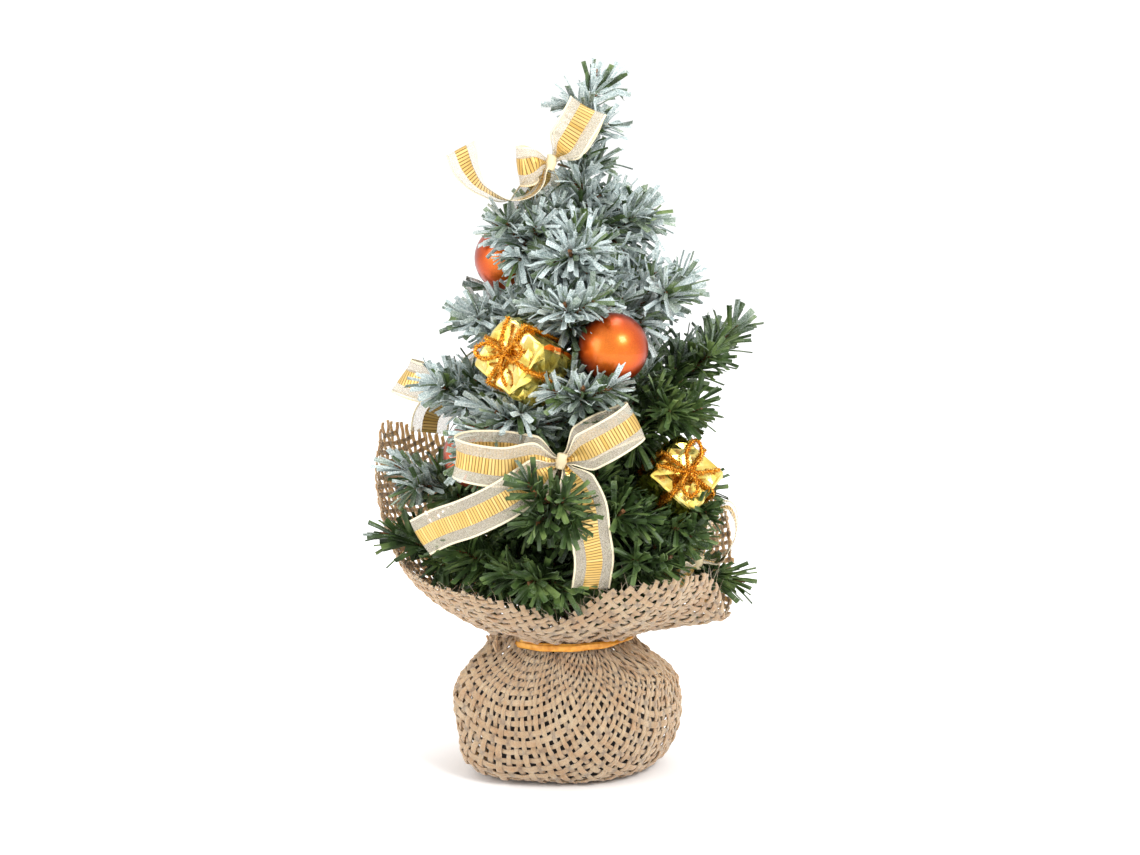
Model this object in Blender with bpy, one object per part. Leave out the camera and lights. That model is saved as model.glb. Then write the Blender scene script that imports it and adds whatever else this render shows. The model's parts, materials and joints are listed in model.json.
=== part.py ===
"""Small artificial tabletop tree, as a kit of parts.

A cup of cement, wrapped in a square of burlap that a rubber band gathers, holds a wire trunk. Brushes of
needles on twisted wire branch off the trunk, and carry balls, foil-wrapped boxes and ribbon bows on wires.

Lengths are in metres. +Z is up, -Y is the front and +X the right. The origin is on the trunk's line, on the
surface that the tree stands on. Azimuths are in degrees, from +X towards +Y, so 270 is the front.
"""

import math

import bmesh
import bpy
from mathutils import Matrix, Vector

# ---------------------------------------------------------------- driving sizes
TREE_HEIGHT = 0.200  # to the tip of the leader's wire
FIT_GAP = 0.0003  # between two pieces that touch
UP = Vector((0, 0, 1))

CUP_FOOT_RADIUS = 0.0235
CUP_RIM_RADIUS = 0.0285
CUP_HEIGHT = 0.0255
CUP_WALL = 0.0010
CEMENT_DOME = 0.0012  # rise of the cement's middle above its edge
CEMENT_BELOW_RIM = 0.0020

CLOTH_THICKNESS = 0.0013
BAG_SLACK = 0.0022  # how far the cloth stands off the cup at the belly
RIM_CLEARANCE = 0.0006  # and at the cup's rim
NECK_RADIUS = 0.0178
NECK_BUNCH = 0.0085  # thickness of the folds that the band squeezes together
NECK_ABOVE_CUP = 0.0105

BAND_WIRE_RADIUS = 0.0009
BAND_DIP = 0.0012  # the band sits lower at the front than at the back
GROOVE = 2 * BAND_WIRE_RADIUS + BAND_DIP + 2 * FIT_GAP  # height of the neck between bag and collar

TRUNK_FOOT_RADIUS = 0.0023
TRUNK_TOP_RADIUS = 0.0014
TRUNK_LEAN = 0.0035  # sideways, at the trunk's top
TRUNK_TOP_SHARE = 0.736  # of what stands above the neck, where the leader is spliced on

STEM_RADIUS = 0.0007  # the bare twisted wire at a branch's root
STEM_LENGTH = 0.0045
BRUSH_RADIUS = 0.0034  # the dense heart of the needles
BRUSH_TIP_RADIUS = 0.0012

BALL_RADIUS = 0.0097
BALL_NECK_RADIUS = 0.0022
BALL_NECK_LENGTH = 0.0016
PICK_RADIUS = 0.00045
GIFT_SIDE = 0.0172
FOIL_WALL = 0.0004
FOIL_BEVEL = 0.0012
FOAM_BEVEL = 0.0009
PICK_DEPTH = 0.005  # how far a pick is pushed into a box's foam
PICK_ASIDE = 0.0028  # from the middle of the box's underside, beside the cord that crosses there
TINSEL_RADIUS = 0.00065
CORD_LOOP_LENGTH = 0.0085
CORD_LOOP_WIDTH = 0.0042
RIBBON_WIDTH = 0.0112
RIBBON_THICKNESS = 0.0004
KNOT_RADIUS = 0.0021
TIE_RADIUS = 0.0004

NECK_HEIGHT = CLOTH_THICKNESS + CUP_HEIGHT + NECK_ABOVE_CUP
TRUNK_TOP = NECK_HEIGHT + TRUNK_TOP_SHARE * (TREE_HEIGHT - NECK_HEIGHT)

MM = 0.001
# The collar's cut edge, all the way round: azimuth, distance out from the neck, and height above the neck.
# The corners of the square cloth stand up at the left back, and out at the right front.
COLLAR_EDGE = (
    (155, 43 * MM, 60 * MM),
    (174, 38 * MM, 40 * MM),
    (192, 31 * MM, 22 * MM),
    (212, 29 * MM, 20 * MM),
    (232, 26 * MM, 19 * MM),
    (252, 16 * MM, 15 * MM),
    (266, 11 * MM, 12 * MM),
    (286, 16 * MM, 21 * MM),
    (308, 24 * MM, 25 * MM),
    (332, 27 * MM, 24 * MM),
    (342, 28 * MM, 17 * MM),
    (350, 28 * MM, 7 * MM),
    (3, 29 * MM, 10 * MM),
    (15, 32 * MM, 26 * MM),
    (28, 33 * MM, 38 * MM),
    (58, 27 * MM, 27 * MM),
    (92, 24 * MM, 25 * MM),
    (122, 31 * MM, 46 * MM),
    (140, 37 * MM, 54 * MM),
)

# Each branch: name, its root's height as a share of what stands above the neck, azimuth, reach, rise, and
# how far its middle sags.
BRANCHES = (
    ("crown_left", 0.683, 198, 25 * MM, 12 * MM, 1 * MM),
    ("crown_right", 0.707, 14, 20 * MM, 9 * MM, 1 * MM),
    ("crown_front", 0.662, 264, 24 * MM, 8 * MM, 1 * MM),
    ("crown_back", 0.678, 98, 25 * MM, 10 * MM, 1 * MM),
    ("upper_left", 0.521, 186, 31 * MM, 10 * MM, 1 * MM),
    ("upper_right", 0.548, 352, 30 * MM, 15 * MM, 1 * MM),
    ("upper_front", 0.523, 264, 29 * MM, 17 * MM, 1 * MM),
    ("upper_back_left", 0.535, 130, 31 * MM, 12 * MM, 1 * MM),
    ("upper_back_right", 0.514, 48, 31 * MM, 12 * MM, 1 * MM),
    ("middle_left", 0.371, 184, 40 * MM, 17 * MM, 2 * MM),
    ("middle_front_left", 0.348, 232, 32 * MM, 15 * MM, 0 * MM),
    ("middle_front", 0.369, 274, 35 * MM, 20 * MM, 1 * MM),
    ("middle_right_front", 0.346, 336, 37 * MM, 14 * MM, 0 * MM),
    ("middle_right", 0.379, 8, 47 * MM, 31 * MM, 5 * MM),
    ("middle_back_right", 0.351, 92, 38 * MM, 13 * MM, 1 * MM),
    ("middle_back_left", 0.367, 132, 38 * MM, 14 * MM, 1 * MM),
    ("lower_left", 0.207, 178, 49 * MM, 18 * MM, 3 * MM),
    ("lower_front", 0.223, 262, 44 * MM, 15 * MM, 2 * MM),
    ("lower_front_right", 0.201, 292, 36 * MM, 13 * MM, 2 * MM),
    ("lower_right", 0.219, 6, 40 * MM, 9 * MM, 1 * MM),
    ("lower_back_right", 0.203, 52, 42 * MM, 13 * MM, 1 * MM),
    ("lower_back_left", 0.216, 134, 42 * MM, 16 * MM, 1 * MM),
    ("skirt_left", 0.121, 190, 52 * MM, 14 * MM, 2 * MM),
    ("skirt_front_left", 0.105, 220, 42 * MM, 18 * MM, 1 * MM),
    ("skirt_front", 0.121, 254, 38 * MM, 6 * MM, 0 * MM),
    ("skirt_front_right", 0.105, 311, 40 * MM, 15 * MM, 1 * MM),
    ("skirt_right", 0.142, 344, 35 * MM, 10 * MM, 1 * MM),
    ("skirt_right_low", 0.100, 357, 48 * MM, 1 * MM, -2 * MM),
    ("skirt_back_right", 0.127, 36, 38 * MM, 14 * MM, 1 * MM),
    ("skirt_back", 0.105, 96, 38 * MM, 14 * MM, 1 * MM),
)

# Each ball: name, the branch that carries it, where its wire is wound on as a share of that branch, the
# way to the ball from there, and the length of bare wire between them.
BALLS = (
    ("ball_front", "upper_front", 0.35, (11, -15, -1), 3.9 * MM),
    ("ball_left", "crown_left", 0.55, (-7, 13, -7), 1.6 * MM),
    ("ball_low_left", "middle_front_left", 0.72, (-12, 7, -11), 3.0 * MM),
    ("ball_back_right", "middle_right", 0.42, (-1, 16, -2), 2.0 * MM),
)

# Each box: the same, then the way its tied face looks, and the way its upper edge points.
GIFTS = (
    ("gift_front", "middle_front", 0.62, (-15, -5, 14), 5.5 * MM, (-0.54, -0.76, 0.35), (0.55, 0, 0.84)),
    ("gift_right", "lower_right", 0.72, (0, -16, 7), 1.9 * MM, (0.35, -0.80, 0.48), (-0.75, 0.0, 0.66)),
)

# A bow's ribbon from its knot: each stretch as points in millimetres, and the way its width points at its
# start and its end. The first two are the loops, which come back to the knot, and the others the tails.
FRONT_BOW = (
    (((-1, 0, 0), (-8, -2, 0), (-16, -4, -1), (-25, -3, 0), (-29, 1, 1), (-25, 5, 2), (-16, 5, 2), (-7, 3, 1),
      (-1, 1, 0)),
     (0, 0, 1), (0.1, 0, 1)),
    (((1, 0, 0), (7, -2, 3), (14, -3, 7), (19, -1, 10), (20, 2, 11), (16, 5, 9), (9, 4, 6), (1, 1, 1)),
     (-0.35, 0, 0.94), (-0.5, 0, 0.87)),
    (((-1, 0, -1), (-8, -4, -5), (-16, -6, -10), (-25, -3, -15), (-33, 3, -19), (-39, 8, -23)),
     (-0.25, 0, 0.97), (-0.4, 0, 0.92)),
    (((1, 0, -1), (4, -3, -6), (7, -4, -12), (8, -2, -20), (9, 1, -28), (8, 5, -37)),
     (0.9, 0, 0.44), (0.97, 0.25, 0)),
)
TOP_BOW = (
    (((1, 0, 1), (4, -4, 5), (7, -5, 10), (10, -3, 15), (10, 1, 15), (8, 2, 10), (4, 2, 4), (1, 1, 1)),
     (0.8, -0.3, -0.5), (0.9, -0.1, -0.4)),
    (((-1, 0, 0), (-4, -3, 0), (-7, -3, -1), (-9, -1, -1), (-8, 2, -1), (-4, 3, 0), (-1, 1, 0)),
     (-0.1, 0, 1), (-0.1, 0, 1)),
    (((-1, 0, -1), (-5, -4, -8), (-12, -5, -10), (-19, -4, -7), (-23, -3, -2), (-25, -1, 4)),
     (0.2, -0.9, 0.3), (0.75, -0.6, -0.25)),
    (((0, 0, -1), (-2, 3, -5), (-5, 7, -9), (-8, 11, -14)),
     (1, 0.2, 0), (0.9, 0.4, 0)),
)
LEFT_BOW = (
    (((-1, 0, 0), (-5, -1, 1), (-11, 0, 2), (-15, 3, 3), (-15, 6, 3), (-9, 7, 1), (-4, 4, 0), (-1, 1, 0)),
     (0.5, 0, 0.87), (0.62, 0, 0.78)),
    (((1, 1, 0), (4, 3, 3), (7, 6, 5), (8, 9, 4), (6, 9, 2), (3, 6, 1), (1, 2, 0)),
     (-0.3, 0, 0.95), (-0.3, 0.2, 0.93)),
    (((-1, 1, -1), (-4, 4, -5), (-7, 6, -9), (-8, 7, -14)),
     (0.9, 0, -0.44), (0.97, 0.2, 0)),
    (((0, 1, -1), (3, 5, -4), (7, 10, -8), (10, 13, -13)),
     (0.9, 0.2, 0.4), (0.9, 0.2, 0.3)),
)
RIGHT_BOW = (
    (((1, 0, 0), (6, 2, 0), (10, 3, 5), (11, 4, 11), (9, 4, 15), (5, 3, 14), (3, 2, 8), (1, 1, 1)),
     (0.1, 0.98, 0), (0.25, 0.95, 0)),
    (((-1, 0, 0), (-5, -3, -2), (-10, -5, -3), (-12, -5, -3), (-11, -2, -3), (-6, 0, -2), (-1, 1, 0)),
     (0, 0.1, 1), (0, 0.1, 1)),
    (((0, 1, 1), (1, 5, 3), (2, 9, 4), (3, 13, 4)),
     (0.5, -0.3, 0.8), (0.5, -0.3, 0.8)),
    (((-1, -1, -1), (-3, -5, -3), (-6, -9, -4)),
     (0.2, 0, 1), (0.3, 0, 0.95)),
)
# Each bow: as for a ball, then its stretches.
BOWS = (
    ("bow_front", "lower_front", 0.75, (2, -3, 13), 8.0 * MM, FRONT_BOW),
    ("bow_top", "leader", 0.34, (-9, -8, 3), 6.9 * MM, TOP_BOW),
    ("bow_left", "middle_left", 0.80, (-1, 10, -1), 4.6 * MM, LEFT_BOW),
    ("bow_right", "skirt_right", 0.88, (5, 0, -7), 3.1 * MM, RIGHT_BOW),
)


# ---------------------------------------------------------------- shared tools
def material(name, colour, roughness, metallic=0.0):
    made = bpy.data.materials.new(name)
    made.use_nodes = True
    shader = made.node_tree.nodes["Principled BSDF"]
    shader.inputs["Base Color"].default_value = (*colour, 1)
    shader.inputs["Roughness"].default_value = roughness
    shader.inputs["Metallic"].default_value = metallic
    return made


def add_object(name, data, finish, parent=None, location=(0, 0, 0)):
    made = bpy.data.objects.new(name, data)
    bpy.context.scene.collection.objects.link(made)
    made.parent = parent
    made.location = location
    if finish:
        data.materials.append(finish)
    return made


def add_mesh(name, shape, finish, parent=None, location=(0, 0, 0)):
    """An object from a bmesh, whose faces are turned outwards and shaded smooth up to 40 degrees."""
    bmesh.ops.recalc_face_normals(shape, faces=shape.faces)
    data = bpy.data.meshes.new(name)
    shape.to_mesh(data)
    shape.free()
    data.shade_smooth()
    data.set_sharp_from_angle(angle=math.radians(40))
    return add_object(name, data, finish, parent, location)


def add_tube(name, points, radii, finish, parent=None, location=(0, 0, 0), closed=False, sides_step=2):
    """A round tube through the points, as thick at each as radii says. Its ends are capped."""
    data = bpy.data.curves.new(name, "CURVE")
    data.dimensions = "3D"
    data.bevel_depth = 1.0
    data.bevel_resolution = sides_step
    data.use_fill_caps = True
    line = data.splines.new("POLY")
    line.points.add(len(points) - 1)
    for spot, place, radius in zip(line.points, points, radii):
        spot.co = (*place, 1)
        spot.radius = radius
    line.use_cyclic_u = closed
    return add_object(name, data, finish, parent, location)


def cutter(name, shape, parent=None, location=(0, 0, 0)):
    """A helper that a Boolean takes away or adds. It isn't a part itself."""
    made = add_mesh(name, shape, None, parent, location)
    made.hide_render = True
    made.display_type = "WIRE"
    return made


def boolean(target, other, operation):
    step = target.modifiers.new(operation.lower(), "BOOLEAN")
    step.operation = operation
    step.object = other


def lathe(profile, steps):
    """A solid of revolution about Z. The profile runs from the axis round to the axis."""
    shape = bmesh.new()
    places = [shape.verts.new((radius, 0, height)) for radius, height in profile]
    edges = [shape.edges.new(pair) for pair in zip(places, places[1:])]
    bmesh.ops.spin(
        shape, geom=places + edges, cent=(0, 0, 0), axis=UP, angle=math.tau, steps=steps, use_merge=True
    )
    bmesh.ops.remove_doubles(shape, verts=shape.verts, dist=1e-6)
    return shape


def smooth_curve(points, between):
    """Points on the smooth curve through the given ones, with this many steps from each to the next."""
    ends = [2 * points[0] - points[1], *points, 2 * points[-1] - points[-2]]
    made = []
    for i in range(1, len(ends) - 2):
        a, b, c, d = ends[i - 1 : i + 3]
        for k in range(between):
            t = k / between
            bend = (2 * a - 5 * b + 4 * c - d) * t**2
            made.append(0.5 * (2 * b + (c - a) * t + bend + (3 * b - a - 3 * c + d) * t**3))
    return made + [points[-1]]


def outwards(azimuth):
    turn = math.radians(azimuth)
    return Vector((math.cos(turn), math.sin(turn), 0))


# ---------------------------------------------------------------- base: cup and cement
def make_cup(finish):
    """A tapered plastic cup with a flat foot and an open top."""
    bottom, top = CLOTH_THICKNESS + FIT_GAP, CLOTH_THICKNESS + CUP_HEIGHT
    inner_top = CUP_RIM_RADIUS - CUP_WALL
    inner_foot = CUP_FOOT_RADIUS - CUP_WALL
    profile = (
        (0, bottom),
        (CUP_FOOT_RADIUS - CUP_WALL, bottom),
        (CUP_FOOT_RADIUS, bottom + CUP_WALL),
        (CUP_RIM_RADIUS, top),
        (inner_top, top),
        (inner_foot, bottom + CUP_WALL),
        (0, bottom + CUP_WALL),
    )
    return add_mesh("base_cup", lathe(profile, 32), finish)


def make_cement(finish):
    """The cement cast in the cup, with the socket that the trunk stands in."""
    bottom = CLOTH_THICKNESS + FIT_GAP + CUP_WALL + FIT_GAP
    top = CLOTH_THICKNESS + CUP_HEIGHT - CEMENT_BELOW_RIM
    rise = (top - CLOTH_THICKNESS) / CUP_HEIGHT
    inner_foot = CUP_FOOT_RADIUS - CUP_WALL - 2 * FIT_GAP
    inner_top = inner_foot + (CUP_RIM_RADIUS - CUP_FOOT_RADIUS) * rise
    socket = TRUNK_FOOT_RADIUS + FIT_GAP
    socket_floor = trunk_foot() - FIT_GAP
    profile = (
        (0, bottom),
        (inner_foot, bottom),
        (inner_top, top),
        (socket, top + CEMENT_DOME),
        (socket, socket_floor),
        (0, socket_floor),
    )
    return add_mesh("cement_weight", lathe(profile, 32), finish)


# ---------------------------------------------------------------- burlap
def bag_profile():
    """The bag's outside, from its foot up to the neck, as (radius, height)."""
    belly = CUP_RIM_RADIUS + BAG_SLACK + CLOTH_THICKNESS
    rim = CLOTH_THICKNESS + CUP_HEIGHT
    return (
        (CUP_FOOT_RADIUS - 0.001, 0),
        (CUP_FOOT_RADIUS + CLOTH_THICKNESS + 0.0028, 0.12 * rim),
        (belly - 0.0012, 0.36 * rim),
        (belly, 0.62 * rim),
        (belly - 0.0012, 0.86 * rim),
        (CUP_RIM_RADIUS + CLOTH_THICKNESS + RIM_CLEARANCE, rim + 0.0012),
        (NECK_RADIUS + 0.0040, NECK_HEIGHT - 0.0032),
        (NECK_RADIUS, NECK_HEIGHT),
    )


def collar_edge(azimuth):
    """How far out and up the cut edge lies in this direction."""
    points = [*COLLAR_EDGE, (COLLAR_EDGE[0][0] + 360, *COLLAR_EDGE[0][1:])]
    points = [(a + 360 if a < COLLAR_EDGE[0][0] else a, *rest) for a, *rest in points]
    azimuth = (azimuth - COLLAR_EDGE[0][0]) % 360 + COLLAR_EDGE[0][0]
    for (a, out_a, up_a), (b, out_b, up_b) in zip(points, points[1:]):
        if azimuth <= b:
            share = (azimuth - a) / (b - a)
            return out_a + share * (out_b - out_a), up_a + share * (up_b - up_a)
    return points[-1][1:]


def collar_line(azimuth, steps):
    """Up the collar's underside in one direction, from neck to edge: radius, height and slope."""
    out, up = collar_edge(azimuth)
    line = []
    for i in range(steps + 1):
        t = i / steps
        place = (NECK_RADIUS + out * (1 - (1 - t) ** 1.6), NECK_HEIGHT + GROOVE + (up - GROOVE) * t**1.3)
        slope = math.atan2((up - GROOVE) * 1.3 * t**0.3, out * 1.6 * (1 - t) ** 0.6)
        line.append((*place, slope))
    return line


def make_burlap(finish):
    """The cloth as one thick skin: a bag round the cup, bunched at the neck, and a collar above it."""
    collar_steps = 5
    sides = 40
    azimuths = [360 / sides * i for i in range(sides)]
    outside = bag_profile()
    rings = [[place] * sides for place in outside]
    lines = [collar_line(a, collar_steps) for a in azimuths]
    for k in range(collar_steps + 1):
        rings.append([line[k][:2] for line in lines])
    for k in range(collar_steps, 0, -1):
        ring = []
        for line in lines:
            out, up, slope = line[k]
            ring.append((out - math.sin(slope) * CLOTH_THICKNESS, up + math.cos(slope) * CLOTH_THICKNESS))
        rings.append(ring)
    inner_neck = NECK_RADIUS - NECK_BUNCH
    rings.append([(inner_neck, NECK_HEIGHT + GROOVE + CLOTH_THICKNESS)] * sides)
    rings.append([(inner_neck, NECK_HEIGHT - CLOTH_THICKNESS)] * sides)
    for radius, height in outside[-2:0:-1]:
        rings.append([(radius - CLOTH_THICKNESS, max(0.0, height - 0.5 * CLOTH_THICKNESS))] * sides)
    rings.append([(outside[0][0], CLOTH_THICKNESS)] * sides)

    shape = bmesh.new()
    turned = [outwards(a) for a in azimuths]
    loops = []
    for ring in rings:
        loops.append([shape.verts.new(way * out + UP * up) for way, (out, up) in zip(turned, ring)])
    for lower, upper in zip(loops, loops[1:]):
        for i in range(sides):
            j = (i + 1) % sides
            shape.faces.new((lower[i], lower[j], upper[j], upper[i]))
    shape.faces.new(loops[0])
    shape.faces.new(loops[-1])
    return add_mesh("burlap_wrap", shape, finish)


def make_band(finish):
    """The rubber band in the groove at the neck, dipping at the front."""
    radius = NECK_RADIUS + BAND_WIRE_RADIUS + FIT_GAP
    middle = NECK_HEIGHT + GROOVE / 2
    points = []
    for i in range(32):
        way = outwards(360 / 32 * i)
        points.append(way * radius + UP * (middle + BAND_DIP * 0.5 * way.y))
    return add_tube("rubber_band", points, [BAND_WIRE_RADIUS] * len(points), finish, closed=True)


# ---------------------------------------------------------------- trunk and branches
def trunk_foot():
    return CLOTH_THICKNESS + 0.2 * CUP_HEIGHT


def trunk_place(height):
    share = max(0.0, height - NECK_HEIGHT) / (TRUNK_TOP - NECK_HEIGHT)
    return Vector((TRUNK_LEAN * share**1.5, 0, height))


def trunk_radius(height):
    share = (height - trunk_foot()) / (TRUNK_TOP - trunk_foot())
    return TRUNK_FOOT_RADIUS + (TRUNK_TOP_RADIUS - TRUNK_FOOT_RADIUS) * share


def make_trunk(finish):
    steps = 12
    heights = [trunk_foot() + (TRUNK_TOP - trunk_foot()) * i / steps for i in range(steps + 1)]
    places = [trunk_place(height) for height in heights]
    return add_tube("trunk_wire", places, [trunk_radius(height) for height in heights], finish)


def branch_line(azimuth, reach, rise, sag):
    """Points along a branch's wire from its root, which is at the origin."""
    way = outwards(azimuth)
    middle = way * (reach * 0.5) + UP * (rise * 0.5 - sag)
    return smooth_curve([Vector(), middle, way * reach + UP * rise], 4)


def brush_radii(line):
    """Bare wire at the root, then the needles' heart, fullest past the middle and tapering to the tip."""
    radii, along = [], 0.0
    whole = sum((b - a).length for a, b in zip(line, line[1:]))
    for before, here in zip([line[0], *line], line):
        along += (here - before).length
        share = max(0.0, (along - STEM_LENGTH) / (whole - STEM_LENGTH))
        full = math.sin(math.pi * min(1.0, 0.12 + 0.88 * share)) ** 0.6
        tip = BRUSH_TIP_RADIUS * share
        radii.append(STEM_RADIUS if along <= STEM_LENGTH else max(STEM_RADIUS, BRUSH_RADIUS * full, tip))
    return radii


def make_branch(name, share, azimuth, reach, rise, sag, finish):
    """One brush of needles on twisted wire, on an empty where its wire bends at the trunk."""
    height = NECK_HEIGHT + share * (TREE_HEIGHT - NECK_HEIGHT)
    root = trunk_place(height) + outwards(azimuth) * (trunk_radius(height) + FIT_GAP)
    bend = add_object("bend_" + name, None, None, location=root)
    line = branch_line(azimuth, reach, rise, sag)
    stem_end = line[0] + (line[1] - line[0]).normalized() * STEM_LENGTH
    line.insert(1, stem_end)
    line.sort(key=lambda place: place.length)
    add_tube("branch_" + name, line, brush_radii(line), finish, parent=bend)
    return bend, line


def make_leader(finish):
    """The brush that carries the trunk on up to the tip."""
    root = trunk_place(TRUNK_TOP) + UP * FIT_GAP
    bend = add_object("bend_leader", None, None, location=root)
    tall = TREE_HEIGHT - root.z
    line = smooth_curve([Vector(), Vector((0.001, 0, tall * 0.5)), Vector((0.0045, 0, tall))], 4)
    add_tube("leader", line, brush_radii(line), finish, parent=bend)
    return bend, line


def along(line, share):
    """A point this share of the way along a line."""
    place = share * (len(line) - 1)
    i = min(int(place), len(line) - 2)
    return line[i].lerp(line[i + 1], place - i)


# ---------------------------------------------------------------- balls
def make_ball(name, bend, line, share, way, bare, finish, wire):
    """A plastic ball with a moulded neck, and the wire pick wound on its branch."""
    start = along(line, share)
    towards = -Vector(way).normalized()
    centre = start - towards * (BRUSH_RADIUS + bare + BALL_NECK_LENGTH + BALL_RADIUS)
    turn = towards.to_track_quat("Z", "Y").to_matrix().to_4x4()
    shape = bmesh.new()
    bmesh.ops.create_uvsphere(shape, u_segments=16, v_segments=10, radius=BALL_RADIUS)
    ball = add_mesh(name, shape, finish, bend, centre)
    ball.rotation_euler = turn.to_euler()
    neck = bmesh.new()
    bmesh.ops.create_cone(
        neck, cap_ends=True, segments=12, radius1=BALL_NECK_RADIUS, radius2=BALL_NECK_RADIUS,
        depth=BALL_NECK_LENGTH * 2,
    )
    bmesh.ops.translate(neck, verts=neck.verts, vec=(0, 0, BALL_RADIUS))
    collar = cutter(name + "_neck", neck, bend, centre)
    collar.rotation_euler = ball.rotation_euler
    boolean(ball, collar, "UNION")
    outer = centre + towards * (BALL_RADIUS + BALL_NECK_LENGTH + FIT_GAP)
    inner = start - towards * (BRUSH_RADIUS + PICK_RADIUS + 2 * FIT_GAP)
    add_tube(name + "_pick", [outer, inner], [PICK_RADIUS] * 2, wire, parent=bend, sides_step=1)


# ---------------------------------------------------------------- wrapped boxes
def box_shape(side, rounding):
    shape = bmesh.new()
    bmesh.ops.create_cube(shape, size=side)
    bmesh.ops.bevel(
        shape, geom=shape.edges[:], offset=rounding, offset_type="OFFSET", segments=1, profile=0.5,
        affect="EDGES", material=-1,
    )
    return shape


def rod_shape(radius, aside, low, high):
    """An upright rod between two heights, this far from the middle both ways."""
    shape = bmesh.new()
    bmesh.ops.create_cone(
        shape, cap_ends=True, segments=12, radius1=radius, radius2=radius, depth=high - low
    )
    bmesh.ops.translate(shape, verts=shape.verts, vec=(aside, aside, (low + high) / 2))
    return shape


def slab_shape(size):
    shape = bmesh.new()
    bmesh.ops.create_cube(shape, size=1)
    bmesh.ops.scale(shape, verts=shape.verts, vec=size)
    return shape


def loop_shape(long, wide, wire, steps=14):
    """A ring of cord drawn out to a loop along X, with its near end at the origin."""
    shape = bmesh.new()
    upright = Matrix.Rotation(math.pi / 2, 3, "X")
    bmesh.ops.create_circle(shape, segments=6, radius=wire)
    bmesh.ops.rotate(shape, verts=shape.verts, cent=(0, 0, 0), matrix=upright)
    bmesh.ops.translate(shape, verts=shape.verts, vec=(wide / 2, 0, 0))
    bmesh.ops.spin(
        shape, geom=shape.verts[:] + shape.edges[:], cent=(0, 0, 0), axis=UP, angle=math.tau, steps=steps,
        use_merge=True,
    )
    bmesh.ops.remove_doubles(shape, verts=shape.verts, dist=1e-6)
    bmesh.ops.scale(shape, verts=shape.verts, vec=(long / wide, 1, 1))
    bmesh.ops.translate(shape, verts=shape.verts, vec=(long / 2, 0, 0))
    return shape


def make_cord(name, bend, centre, turned, finish):
    """Tinsel cord round the box both ways, and the bow that it is tied in."""
    outer = GIFT_SIDE + 2 * FIT_GAP + 4 * TINSEL_RADIUS
    under = outer - TINSEL_RADIUS / 2
    wide = 2 * TINSEL_RADIUS
    top = GIFT_SIDE / 2 + FIT_GAP + 2 * TINSEL_RADIUS
    cord = add_mesh(name + "_cord", slab_shape((outer, wide, outer)), finish, bend, centre)
    added = [cutter(name + "_cross", slab_shape((wide, under, under)), bend, centre)]
    knot = bmesh.new()
    bmesh.ops.create_icosphere(knot, subdivisions=2, radius=1.8 * TINSEL_RADIUS)
    bmesh.ops.translate(knot, verts=knot.verts, vec=(0, 0, top))
    added.append(cutter(name + "_knot", knot, bend, centre))
    for azimuth, tilt in ((25, 12), (205, 4)):
        loop = loop_shape(CORD_LOOP_LENGTH, CORD_LOOP_WIDTH, TINSEL_RADIUS)
        lift = Matrix.Rotation(-math.radians(tilt), 3, "Y")
        lean = Matrix.Rotation(math.radians(azimuth), 3, "Z") @ lift
        bmesh.ops.rotate(loop, verts=loop.verts, cent=(0, 0, 0), matrix=lean)
        bmesh.ops.translate(loop, verts=loop.verts, vec=(0, 0, top + TINSEL_RADIUS / 2))
        added.append(cutter(f"{name}_loop_{azimuth}", loop, bend, centre))
    for piece in added:
        boolean(cord, piece, "UNION")
    room = cutter(name + "_cord_room", box_shape(GIFT_SIDE + 2 * FIT_GAP, FOIL_BEVEL), bend, centre)
    boolean(cord, room, "DIFFERENCE")
    for piece in [cord, room, *added]:
        piece.rotation_euler = turned


def make_gift(name, bend, line, share, way, bare, facing, upper, finishes):
    """A foam block in foil, tied both ways with tinsel cord and a bow, on a wire pick."""
    foam_finish, foil_finish, tinsel_finish, wire_finish = finishes
    start = along(line, share)
    half_diagonal = GIFT_SIDE * math.sqrt(0.5)
    centre = start + Vector(way).normalized() * (BRUSH_RADIUS + bare + half_diagonal)
    z = Vector(facing).normalized()
    y = Vector(upper)
    y = (y - z * y.dot(z)).normalized()
    turned = Matrix((y.cross(z), y, z)).transposed().to_euler()
    half = GIFT_SIDE / 2
    hole = PICK_RADIUS + FIT_GAP

    foam_side = GIFT_SIDE - 2 * (FOIL_WALL + FIT_GAP)
    foam = add_mesh(name + "_foam", box_shape(foam_side, FOAM_BEVEL), foam_finish, bend, centre)
    bore_shape = rod_shape(hole, PICK_ASIDE, -2 * half, -half + PICK_DEPTH + FIT_GAP)
    bore = cutter(name + "_bore", bore_shape, bend, centre)
    boolean(foam, bore, "DIFFERENCE")

    foil = add_mesh(name + "_foil", box_shape(GIFT_SIDE, FOIL_BEVEL), foil_finish, bend, centre)
    room = cutter(name + "_room", box_shape(GIFT_SIDE - 2 * FOIL_WALL, FOAM_BEVEL), bend, centre)
    mouth = cutter(name + "_mouth", rod_shape(2 * hole, PICK_ASIDE, -2 * half, -half / 2), bend, centre)
    boolean(foil, room, "DIFFERENCE")
    boolean(foil, mouth, "DIFFERENCE")

    make_cord(name, bend, centre, turned, tinsel_finish)
    for piece in (foam, bore, foil, room, mouth):
        piece.rotation_euler = turned

    pierced = centre + (y.cross(z) + y) * PICK_ASIDE
    inside = pierced - z * (half - PICK_DEPTH)
    mouth_place = pierced - z * (half + 0.002)
    wound = start + (mouth_place - start).normalized() * (BRUSH_RADIUS + PICK_RADIUS + 2 * FIT_GAP)
    bent = [inside, mouth_place, wound]
    add_tube(name + "_pick", bent, [PICK_RADIUS] * 3, wire_finish, parent=bend, sides_step=1)


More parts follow.
